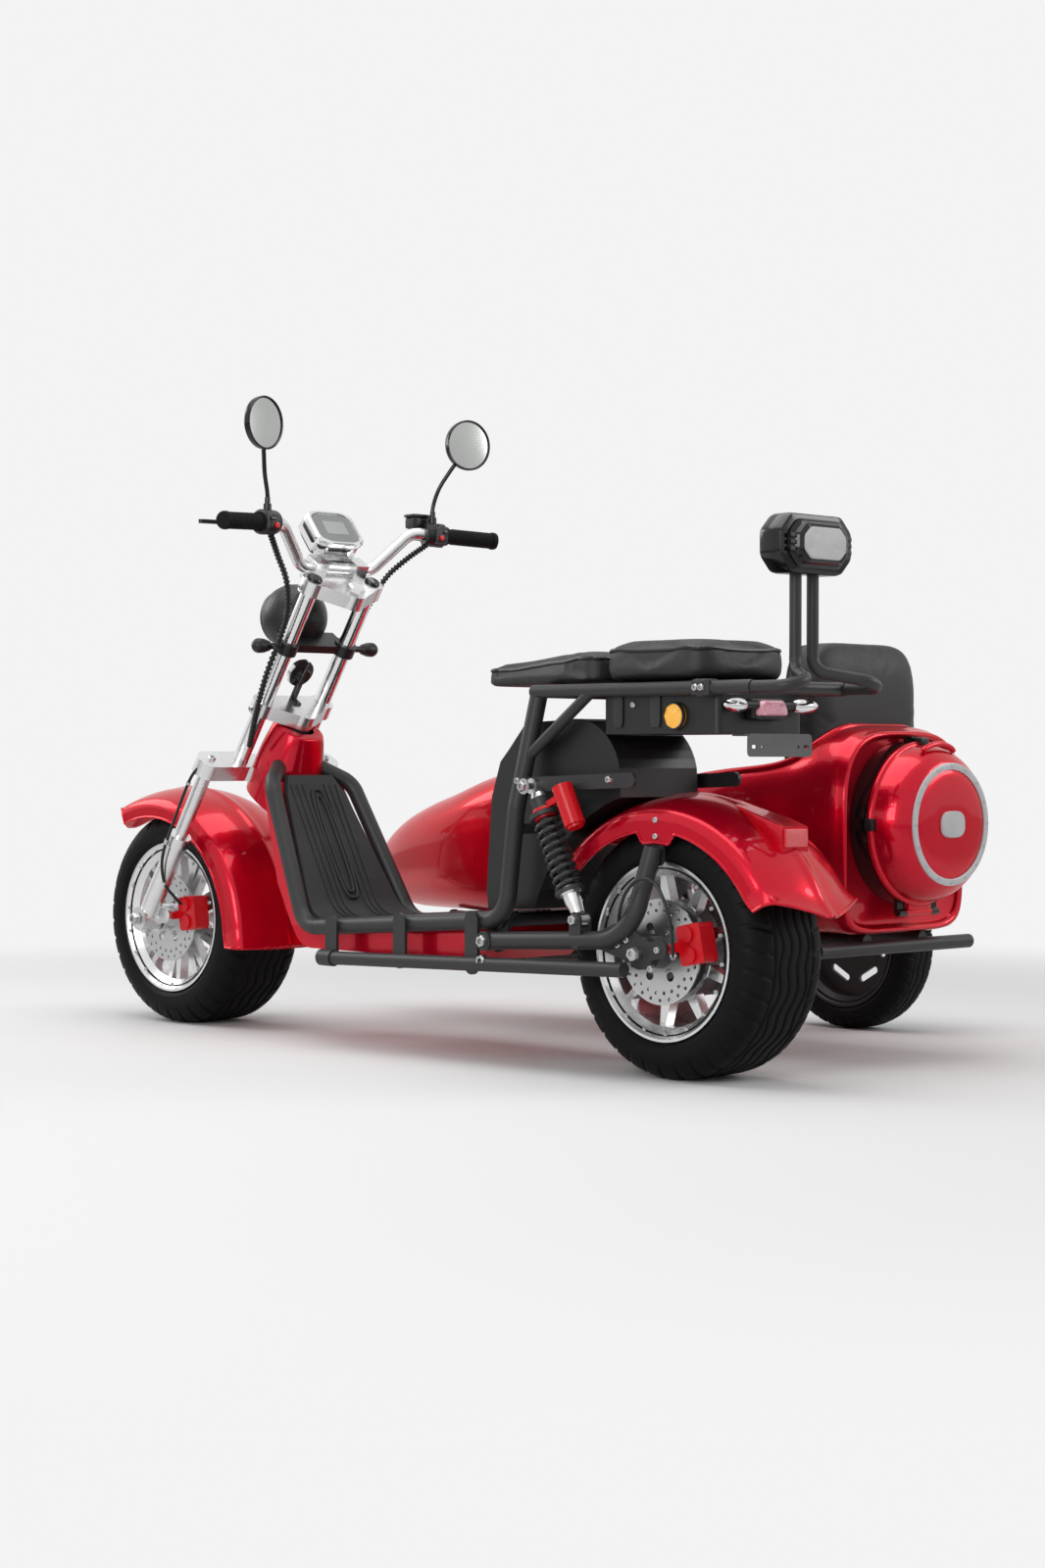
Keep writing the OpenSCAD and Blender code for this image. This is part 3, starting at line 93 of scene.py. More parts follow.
class Link:
    """A shader socket that can be used in Python expressions; each operator adds one Math node."""

    def __init__(self, graph: "Graph", socket: bpy.types.NodeSocket) -> None:
        """Keeps the socket and the graph that it belongs to."""
        self.graph = graph
        self.socket = socket

    def math(self, operation: str, *others: Union["Link", float], first: Optional[float] = None) -> "Link":
        """Adds a Math node.

        Args:
            operation: Name of the Math node's operation.
            others: The operands after this one.
            first: A number that takes the first place, for the reflected operators.
        Returns:
            The node's result.
        """
        operands = [self, *others] if first is None else [first, self]
        return self.graph.node("ShaderNodeMath", {"operation": operation}, dict(enumerate(operands)))

    def __add__(self, other: Union["Link", float]) -> "Link":
        """Sum."""
        return self.math("ADD", other)

    __radd__ = __add__

    def __mul__(self, other: Union["Link", float]) -> "Link":
        """Product."""
        return self.math("MULTIPLY", other)

    __rmul__ = __mul__

    def __sub__(self, other: Union["Link", float]) -> "Link":
        """Difference."""
        return self.math("SUBTRACT", other)

    def __rsub__(self, other: float) -> "Link":
        """Difference from a number."""
        return self.math("SUBTRACT", first=other)

    def __pow__(self, other: Union["Link", float]) -> "Link":
        """Power."""
        return self.math("POWER", other)

    def sine(self) -> "Link":
        """Sine of an angle in radians."""
        return self.math("SINE")

    def ramp(self, low: float, high: float) -> "Link":
        """0 below low, 1 above high, and smooth between."""
        settings = {"interpolation_type": "SMOOTHSTEP"}
        return self.graph.node("ShaderNodeMapRange", settings, {"Value": self, "From Min": low, "From Max": high})


Feed = Union[Link, float, Sequence[float]]


class Graph:
    """The node tree of a material or of the world, with its main shader at hand."""

    def __init__(self, owner: Union[bpy.types.Material, bpy.types.World], shader: str = "Principled BSDF") -> None:
        """Turns the owner's nodes on and finds its main shader.

        Args:
            owner: A new material or world.
            shader: Name of the shader node that it starts with.
        """
        owner.use_nodes = True
        self.owner = owner
        self.tree = owner.node_tree
        self.surface = self.tree.nodes[shader]

    def node(self, kind: str, settings: dict, feeds: dict, out: Union[int, str] = 0) -> Link:
        """Adds any node.

        Args:
            kind: The node's type.
            settings: Its own settings, which are set first.
            feeds: Values or links for its input sockets, by name or number.
            out: Name or number of the output to return.
        Returns:
            The chosen output.
        """
        made = self.tree.nodes.new(kind)
        for key, value in settings.items():
            setattr(made, key, value)
        for key, value in feeds.items():
            self.feed(made.inputs[key], value)
        return Link(self, made.outputs[out])

    def feed(self, socket: bpy.types.NodeSocket, value: Feed) -> None:
        """Links a value to a socket, or sets the socket where the value is a number or colour.

        Args:
            socket: The input to feed.
            value: A link, a number or a colour.
        """
        if isinstance(value, Link):
            self.tree.links.new(value.socket, socket)
        elif isinstance(value, (int, float)):
            socket.default_value = value
        else:
            room = len(socket.default_value)
            socket.default_value = tuple(value)[:room] + (1.0,) * (room - len(value))

    def surface_set(self, **feeds: Feed) -> None:
        """Sets or links sockets of the surface shader; an underscore in a name stands for a space."""
        for key, value in feeds.items():
            self.feed(self.surface.inputs[key.replace("_", " ")], value)

    def place(self) -> Link:
        """Object coordinates, in metres."""
        return self.node("ShaderNodeTexCoord", {}, {}, "Object")

    def axes(self, vector: Link) -> tuple[Link, Link, Link]:
        """The three parts of a vector."""
        split = self.node("ShaderNodeSeparateXYZ", {}, {0: vector})
        outs = split.socket.node.outputs
        return Link(self, outs[0]), Link(self, outs[1]), Link(self, outs[2])

    def noise(self, scale: float, detail: float = 2.0, vector: Optional[Link] = None) -> Link:
        """Cloudy noise from 0 to 1 with lumps of about 1 / scale metres."""
        where = vector if vector is not None else self.place()
        return self.node("ShaderNodeTexNoise", {}, {"Vector": where, "Scale": scale, "Detail": detail})

    def cells(self, scale: float, feature: str = "F1", out: str = "Distance") -> Link:
        """Cell pattern with cells of about 1 / scale metres."""
        return self.node("ShaderNodeTexVoronoi", {"feature": feature}, {"Vector": self.place(), "Scale": scale}, out)

    def mix(self, factor: Feed, low: Feed, high: Feed) -> Link:
        """Colour between low and high."""
        return self.node("ShaderNodeMix", {"data_type": "RGBA"}, {0: factor, 6: low, 7: high}, 2)

    def bump(self, height: Link, depth: float, strength: float = 1.0) -> Link:
        """Normal for a surface that is raised by height times depth metres."""
        return self.node("ShaderNodeBump", {}, {"Height": height, "Distance": depth, "Strength": strength})


# Finishes


@dataclass(frozen=True)
class Finish:
    """What every finish has: its own name and its main colour."""

    name: str
    colour: Colour

    def build(self) -> bpy.types.Material:
        """Makes the material on the first call.

        Returns:
            The material.
        """
        known = bpy.data.materials.get("finish_" + self.name)
        if known:
            return known
        graph = Graph(bpy.data.materials.new("finish_" + self.name))
        self.shade(graph)
        return graph.owner

    def shade(self, graph: Graph) -> None:
        """Sets the surface shader up."""
        raise NotImplementedError

    def tint(self, factor: float) -> Colour:
        """The main colour made lighter or darker."""
        return tuple(min(1.0, part * factor) for part in self.colour)


@dataclass(frozen=True)
class CandyPaint(Finish):
    """Metallic body paint under a clear coat."""

    flake: float = 0.0011

    def shade(self, graph: Graph) -> None:
        """Flakes change brightness cell by cell, with faint dust and an even clear coat.

        Args:
            graph: The material's node tree.
        """
        speck = graph.cells(1 / self.flake, out="Color")
        grey = graph.node("ShaderNodeRGBToBW", {}, {0: speck})
        haze = graph.noise(3.0, 3.0)
        colour = graph.mix(grey * 0.5 + haze * 0.35, self.tint(0.7), self.tint(1.4))
        graph.surface_set(
            Base_Color=colour, Metallic=0.55, Roughness=0.24 + 0.06 * haze,
            Coat_Weight=0.5, Coat_Roughness=0.03, Specular_Tint=(0.9, 0.05, 0.1),
        )


@dataclass(frozen=True)
class PowderCoat(Finish):
    """Baked paint with a fine orange-peel skin."""

    rough: float = 0.42

    def shade(self, graph: Graph) -> None:
        """Small lumps in the skin, and patches where it is rubbed smoother.

        Args:
            graph: The material's node tree.
        """
        wear = graph.noise(9.0, 4.0)
        peel = graph.noise(700.0, 1.0)
        graph.surface_set(
            Base_Color=graph.mix(wear, self.tint(0.85), self.tint(1.2)),
            Roughness=self.rough + 0.12 * (wear - 0.5),
            Normal=graph.bump(peel, 0.00012), Specular_IOR_Level=0.32,
        )


@dataclass(frozen=True)
class Metal(Finish):
    """Bare or plated metal."""

    rough: float = 0.2
    grain: float = 260.0
    grain_depth: float = 0.00002

    def shade(self, graph: Graph) -> None:
        """Fine marks from polishing, and dull patches.

        Args:
            graph: The material's node tree.
        """
        dull = graph.noise(14.0, 4.0)
        marks = graph.noise(self.grain, 3.0)
        graph.surface_set(
            Base_Color=graph.mix(dull, self.tint(0.92), self.tint(1.05)), Metallic=1.0,
            Roughness=self.rough + 0.1 * (dull - 0.5) * self.rough * 4,
            Normal=graph.bump(marks, self.grain_depth),
        )


@dataclass(frozen=True)
class Rubber(Finish):
    """Tyre and grip rubber."""

    rough: float = 0.62

    def shade(self, graph: Graph) -> None:
        """Fine grit in the skin, and dusty patches.

        Args:
            graph: The material's node tree.
        """
        dust = graph.noise(18.0, 4.0)
        grit = graph.noise(900.0, 2.0)
        graph.surface_set(
            Base_Color=graph.mix(dust, self.tint(0.8), self.tint(1.5)),
            Roughness=self.rough + 0.2 * (dust - 0.5),
            Normal=graph.bump(grit, 0.00015), Specular_IOR_Level=0.1,
        )


@dataclass(frozen=True)
class Plastic(Finish):
    """Moulded plastic, from matt to glossy."""

    rough: float = 0.35
    spark: float = 0.00008

    def shade(self, graph: Graph) -> None:
        """A spark-eroded skin and slight changes of gloss.

        Args:
            graph: The material's node tree.
        """
        haze = graph.noise(20.0, 3.0)
        skin = graph.noise(1400.0, 1.0)
        graph.surface_set(
            Base_Color=graph.mix(haze, self.tint(0.9), self.tint(1.15)),
            Roughness=self.rough + 0.14 * (haze - 0.5),
            Normal=graph.bump(skin, self.spark), Specular_IOR_Level=0.4,
        )


@dataclass(frozen=True)
class Leather(Finish):
    """Grained artificial leather."""

    cell: float = 0.0022

    def shade(self, graph: Graph) -> None:
        """Pebbles split by creases, glossier on top than in the creases.

        Args:
            graph: The material's node tree.
        """
        pebble = graph.cells(1 / self.cell, "SMOOTH_F1")
        worn = graph.noise(7.0, 3.0)
        graph.surface_set(
            Base_Color=graph.mix(worn, self.tint(0.85), self.tint(1.2)),
            Roughness=0.4 + 0.25 * pebble + 0.1 * (worn - 0.5),
            Normal=graph.bump(1 - pebble, 0.0003), Specular_IOR_Level=0.35,
        )


@dataclass(frozen=True)
class Lens(Finish):
    """Clear coloured plastic over a reflector, with a painted glow that stands in for the light the reflector throws
    back.
    """

    # glow: strength of the painted glow, an emission that makes the lens shine by itself
    glow: float = 0.15
    pitch: float = 0.004

    def shade(self, graph: Graph) -> None:
        """Small pillows moulded inside the lens change its colour and its slope, and an emission paints a glow on it.

        Args:
            graph: The material's node tree.
        """
        x, y, z = graph.axes(graph.place())
        turn = 2 * math.pi / self.pitch
        pillow = ((x + y) * turn).sine() * (z * turn).sine()
        graph.surface_set(
            Base_Color=graph.mix(pillow * 0.5 + 0.5, self.tint(0.7), self.tint(1.3)), Roughness=0.12,
            Normal=graph.bump(pillow, 0.0003),
            Coat_Weight=1.0, Coat_Roughness=0.02,
            # Emission paints a glow on the lens, in place of light thrown back by the reflector behind it
            Emission_Color=(*self.colour, 1.0), Emission_Strength=self.glow,
        )


class Look(Enum):
    """The finishes of this vehicle, named by the record's material slots and a few more."""

    PAINT_RED = CandyPaint("paint_red", (0.56, 0.002, 0.019))
    FRAME_BLACK = PowderCoat("frame_black", (0.026, 0.026, 0.027))
    BOARD_RUBBER = Rubber("board_rubber", (0.038, 0.038, 0.039), 0.5)
    SEAT_LEATHER = Leather("seat_leather", (0.018, 0.018, 0.019))
    ALLOY = Metal("alloy", (0.74, 0.74, 0.745), 0.27)
    CHROME = Metal("chrome", (0.8, 0.8, 0.805), 0.1, 400.0, 0.000004)
    TYRE = Rubber("tyre", (0.0035, 0.0035, 0.0037), 0.5)
    PLASTIC_BLACK = Plastic("plastic_black", (0.008, 0.008, 0.009), 0.38)
    GLOSS_BLACK = Plastic("gloss_black", (0.005, 0.005, 0.0055), 0.12, 0.00001)
    STEEL = Metal("steel", (0.55, 0.55, 0.555), 0.3, 500.0, 0.00004)
    CALIPER_RED = PowderCoat("caliper_red", (0.55, 0.004, 0.01), 0.22)
    # The lens finishes below carry a painted glow in their emission; the amber reflectors glow though they hold no lamp
    LAMP_RED = Lens("lamp_red", (0.55, 0.01, 0.02))
    AMBER = Lens("amber", (0.95, 0.4, 0.01), 0.2)
    GRIP_RUBBER = Rubber("grip_rubber", (0.008, 0.008, 0.009), 0.6)
    MOTOR_GREY = PowderCoat("motor_grey", (0.06, 0.06, 0.063), 0.4)
    BRACKET_GREY = PowderCoat("bracket_grey", (0.11, 0.11, 0.113), 0.35)
    PIPING = Plastic("seat_piping", (0.006, 0.006, 0.0065), 0.3)
    TRIM_WHITE = Plastic("trim_white", (0.46, 0.46, 0.47), 0.25, 0.00002)
    MIRROR = Metal("mirror_glass", (0.45, 0.46, 0.45), 0.14, 30.0, 0.0)
    SCREEN = Plastic("gauge_screen", (0.2, 0.21, 0.21), 0.15, 0.00001)
    GLASS_GREY = Plastic("gauge_glass", (0.33, 0.34, 0.34), 0.1, 0.00001)
    LAMP_PINK = Lens("lamp_pink", (0.75, 0.32, 0.4), 0.1, 0.006)

    def material(self) -> bpy.types.Material:
        """The finish's material."""
        return self.value.build()


class CadFinishes:
    """Gives every CAD node the finish of its record slot."""

    def dress(self) -> None:
        """Puts the slot's material on each node."""
        slots = {row["node"]: row["material_slot"] for row in frame["record"]["subparts"]}
        for node, piece in frame["nodes"].items():
            piece.data.materials.clear()
            piece.data.materials.append(Look[slots[node].upper()].material())
        LOG.info("finishes on %d CAD nodes", len(slots))


# Surfaces


@dataclass
class Skin:
    """One surface: its points, in metres from the ground under the rear axle, and its four-sided faces."""

    points: Array
    faces: Array

    def moved(self, centres: Array) -> "Skin":
        """Copies the surface to every centre, as one surface."""
        centres = np.atleast_2d(centres)
        count = len(self.points)
        points = (centres[:, None] + self.points).reshape(-1, 3)
        faces = (np.arange(len(centres))[:, None, None] * count + self.faces).reshape(-1, 4)
        return Skin(points, faces)

    def mirrored(self) -> "Skin":
        """The same surface on the other side of the scooter's middle plane, turned to face outwards."""
        return Skin(self.points * (1, -1, 1), self.faces[:, ::-1])


def unit(vectors: Array) -> Array:
    """Vectors of length one along the given ones."""
    vectors = np.asarray(vectors, float)
    return vectors / np.linalg.norm(vectors, axis=-1, keepdims=True)


def grid(points: Array, wrap_u: bool = False, wrap_v: bool = False) -> Skin:
    """Joins a grid of points by four-sided faces.

    Args:
        points: Points in rows and columns.
        wrap_u: Whether the last row joins the first.
        wrap_v: Whether the last column joins the first.
    Returns:
        The surface.
    """
    rows, columns = points.shape[:2]
    i, j = np.meshgrid(
        np.arange(rows if wrap_u else rows - 1), np.arange(columns if wrap_v else columns - 1), indexing="ij"
    )
    after_i, after_j = (i + 1) % rows, (j + 1) % columns
    faces = np.stack([i * columns + j, after_i * columns + j, after_i * columns + after_j, i * columns + after_j], -1)
    return Skin(points.reshape(-1, 3), faces.reshape(-1, 4))


def spline(points: Sequence, count: int, closed: bool = False) -> Array:
    """Smooth curve through points: on each span, the cubic whose end slopes are half the chord of the neighbours.

    Args:
        points: Points to pass through.
        count: How many points the curve gets.
        closed: Whether it comes back to its start.
    Returns:
        Points on the curve.
    """
    held = np.asarray(points, float)
    ends = (held[-1:], held[:2]) if closed else (2 * held[:1] - held[1:2], 2 * held[-1:] - held[-2:-1])
    held = np.concatenate([ends[0], held, ends[1]])
    spans = len(held) - 3
    where = np.linspace(0, spans, count, endpoint=not closed)
    span = np.minimum(where.astype(int), spans - 1)
    part = (where - span)[:, None]
    before, start, stop, after = held[span], held[span + 1], held[span + 2], held[span + 3]
    bend = (2 * before - 5 * start + 4 * stop - after) / 2 + part * (3 * start - before - 3 * stop + after) / 2
    return start + part * ((stop - before) / 2 + part * bend)


def tube(path: Array, radius: Union[float, Array], sides: int = 12, closed: bool = False,
         up: Sequence[float] = (0.0, 0.0, 1.0)) -> Skin:
    """Circle carried along a path; each ring lies square to the path, and open ends close in a point.

    Args:
        path: Points of the middle line.
        radius: One radius, or one for each point.
        sides: Points round the tube.
        closed: Whether the path is a loop.
        up: A direction that the path never takes.
    Returns:
        The tube.
    """
    path = np.asarray(path, float)
    ahead = np.roll(path, -1, 0) - np.roll(path, 1, 0) if closed else np.gradient(path, axis=0)
    across = unit(np.cross(unit(ahead), up))
    over = np.cross(across, unit(ahead))
    turn = np.linspace(0, 2 * np.pi, sides, endpoint=False)[None, :, None]
    reach = np.broadcast_to(np.asarray(radius, float), (len(path),))[:, None, None]
    rings = path[:, None] + reach * (np.cos(turn) * across[:, None] + np.sin(turn) * over[:, None])
    if not closed:
        ends = np.repeat(path[[0, -1], None], sides, 1)
        rings = np.concatenate([ends[:1], rings, ends[1:]])
    return grid(rings, closed, True)


def lathe(profile: Sequence, centre: Sequence[float], axis: Sequence[float], sides: int = 48,
          closed: bool = False) -> Skin:
    """Turns a profile about an axis: a point (a, r) goes to a circle of radius r at distance a along the axis.

    Args:
        profile: Pairs of distance along the axis and radius.
        centre: Where distances start.
        axis: The axis.
        sides: Points round the axis.
        closed: Whether the profile is a loop.
    Returns:
        The turned surface.
    """
    profile = np.asarray(profile, float)
    axis = unit(axis)
    across = unit(np.cross(axis, (0.31, 0.27, 0.91) if abs(axis[2]) < 0.9 else (1.0, 0.0, 0.0)))
    turn = np.linspace(0, 2 * np.pi, sides, endpoint=False)[None, :, None]
    spoke = np.cos(turn) * across + np.sin(turn) * np.cross(axis, across)
    rings = np.asarray(centre) + profile[:, :1, None] * axis + profile[:, 1:, None] * spoke
    return grid(rings, closed, True)


def block(low: Sequence[float], high: Sequence[float], power: float = 8.0, count: int = 24) -> Skin:
    """Rounded box: on it, the powers of the three distances from the middle, each over its half size, add to one.

    Args:
        low: Lowest corner.
        high: Highest corner.
        power: The power; a higher one gives sharper edges.
        count: Points round the box.
    Returns:
        The closed surface.
    """
    low, high = np.asarray(low, float), np.asarray(high, float)
    rise, turn = np.meshgrid(
        np.linspace(-np.pi / 2, np.pi / 2, count), np.linspace(0, 2 * np.pi, 2 * count, endpoint=False), indexing="ij"
    )
    ray = np.stack([np.cos(rise) * np.cos(turn), np.cos(rise) * np.sin(turn), np.sin(rise)], -1)
    reach = (np.abs(ray) ** power).sum(-1, keepdims=True) ** (-1 / power)
    return grid((low + high) / 2 + (high - low) / 2 * ray * reach, False, True)


def heads(centres: Sequence, axis: Sequence[float], radius: float, height: float, sides: int = 6) -> Skin:
    """Screw heads: a short turned drum with a bevel and a socket, copied to every centre.

    Args:
        centres: Points where the heads sit.
        axis: The way that they face.
        radius: Radius of a head.
        height: How far a head stands up.
        sides: 6 for a hexagon, more for a round head.
    Returns:
        All heads as one surface.
    """
    profile = [
        (-height / 2, 0), (-height / 2, radius), (height * 0.7, radius), (height, radius * 0.85),
        (height, radius * 0.5), (height * 0.45, radius * 0.45), (height * 0.45, 0),
    ]
    return lathe(profile, (0, 0, 0), axis, sides).moved(np.asarray(centres, float))


def circle(centre: Sequence[float], radius: float, count: int, start: float = 0.0) -> Array:
    """Points on an upright circle whose axis lies across the scooter."""
    turn = start + np.linspace(0, 2 * np.pi, count, endpoint=False)
    return np.asarray(centre) + radius * np.stack([np.cos(turn), np.zeros(count), np.sin(turn)], -1)


def piece(
    name: str, skins: Iterable[Skin], look: "Look", body: str, slot: str = "", sharp: float = 35.0
) -> bpy.types.Object:
    """Makes a visible piece from surfaces.

    Args:
        name: The piece's name.
        skins: Its surfaces.
        look: Its finish.
        body: The body that it rides on.
        slot: Not used.
        sharp: Edges with a larger angle than this, in degrees, stay sharp.
    Returns:
        The new object.
    """
    skins = list(skins)
    starts = np.cumsum([0] + [len(skin.points) for skin in skins[:-1]])
    points = np.concatenate([skin.points for skin in skins]) + GROUND
    faces = np.concatenate([skin.faces + start for skin, start in zip(skins, starts)])
    mesh = bpy.data.meshes.new(name)
    mesh.vertices.add(len(points))
    mesh.vertices.foreach_set("co", points.ravel())
    mesh.loops.add(faces.size)
    mesh.loops.foreach_set("vertex_index", faces.ravel().astype(np.int32))
    mesh.polygons.add(len(faces))
    mesh.polygons.foreach_set("loop_start", np.arange(0, faces.size, 4, dtype=np.int32))
    mesh.update(calc_edges=True)
    shell = bmesh.new()
    shell.from_mesh(mesh)
    bmesh.ops.remove_doubles(shell, verts=shell.verts, dist=1e-6)
    bmesh.ops.dissolve_degenerate(shell, edges=shell.edges, dist=1e-7)
    bmesh.ops.recalc_face_normals(shell, faces=shell.faces)
    shell.to_mesh(mesh)
    shell.free()
    mesh.shade_smooth()
    mesh.set_sharp_from_angle(angle=math.radians(sharp))
    mesh.materials.append(look.material())
    made = bpy.data.objects.new(name, mesh)
    bpy.context.collection.objects.link(made)
    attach(made, body)
    LOG.info("%s: %d faces", name, len(mesh.polygons))
    return made


def add_modifier(made: bpy.types.Object, kind: str, **settings: object) -> None:
    """Adds a modifier with the given settings."""
    modifier = made.modifiers.new(kind.lower(), kind)
    for key, value in settings.items():
        setattr(modifier, key, value)


# Wheels


@dataclass
class Tyre:
    """Tyre with a smooth sidewall, slotted shoulders and wavy grooves round its middle."""

    node: str
    body: str
    bead: float = 0.1528
    lip: float = 0.1668
    rim_half: float = 0.0916
    shoulder: float = 0.046
    groove: float = 0.0035
    slots: int = 34
    steps: int = 612
    waves: Sequence[float] = (0.012, 0.036)

    def build(self) -> None:
        """Carries the tyre's section round its axle and presses the tread into it."""
        low, high = (np.array(corner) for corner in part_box(self.node))
        centre = (low + high) / 2 - GROUND
        outer, half = (high[2] - low[2]) / 2, (high[1] - low[1]) / 2
        across, radius = self.section(outer, half)
        turn = np.linspace(0, 2 * np.pi, self.steps, endpoint=False)[:, None]
        worn = self.tread(turn, across, radius, outer, half)
        reach = radius + worn
        rings = np.stack([reach * np.cos(turn), np.broadcast_to(across, reach.shape), reach * np.sin(turn)], -1)
        made = piece(self.node + "_tread", [grid(centre + rings, True, True)], Look.TYRE, self.body, sharp=50.0)
        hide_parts(self.node)

    def section(self, outer: float, half: float) -> tuple[Array, Array]:
        """Section of the tyre as a loop: bead, bulged sidewall, round shoulder and a slightly crowned tread.

        Args:
            outer: Outer radius.
            half: Half the width.
        Returns:
            Distances across and radii of the loop's points.
        """
        middle = np.array([half - self.shoulder, outer - self.shoulder])
        turn = np.linspace(0, np.pi / 2, 16)
        arc = middle + self.shoulder * np.stack([np.cos(turn), np.sin(turn)], -1)
        wall = np.array([
            [self.rim_half, self.bead], [self.rim_half, self.lip], [self.rim_half + 0.004, self.lip + 0.004],
            [half - 0.0005, self.lip + 0.011], [half, (self.lip + outer - self.shoulder) / 2],
        ])
        flat = np.stack([np.linspace(middle[0], 0, 22)[1:], np.full(21, outer)], -1)
        right = np.concatenate([wall, arc, flat])
        loop = np.concatenate([right, (right * (-1, 1))[-2::-1]])
        loop[:, 1] -= 0.002 * (loop[:, 1] > outer - 0.002) * (loop[:, 0] / half) ** 2
        return loop[:, 0], loop[:, 1]

    def tread(self, turn: Array, across: Array, radius: Array, outer: float, half: float) -> Array:
        """Depth of the tread: grooves that wave along the middle, and slanted slots over the shoulders.

        Args:
            turn: Angles round the tyre.
            across: Distances from the middle.
            radius: Radii of the section.
            outer: Outer radius.
            half: Half the width.
        Returns:
            How far each point moves outwards.
        """
        wave = 0.0045 * np.sin(turn * self.slots / 2)
        scale = half / 0.103
        offset = np.stack([np.abs(np.abs(across + wave * scale) - place * scale) for place in self.waves])
        middle = np.clip(1.6 - offset.min(0) / (0.0024 * scale), 0, 1)
        edge = np.clip((np.abs(across) - 0.052 * scale) / (0.004 * scale), 0, 1)
        edge = edge * np.clip((radius - (outer - 0.75 * self.shoulder)) / 0.004, 0, 1)
        slant = turn + np.sign(across) * 0.1 + (np.abs(across) - 0.05 * scale) * 1.6
        phase = np.abs((slant * self.slots / (2 * np.pi)) % 1 - 0.5)
        slot = np.clip((0.11 - phase) / 0.03, 0, 1)
        ring = np.exp(-(((np.abs(across) - 0.052 * scale) / (0.0026 * scale)) ** 2))
        upper = radius > outer - 0.01
        rib = 0.0012 * np.exp(-(((radius - (self.lip + 0.022)) / 0.0016) ** 2))
        return rib - self.groove * np.maximum(upper * np.maximum(middle, ring), edge * slot)


# Sidecar


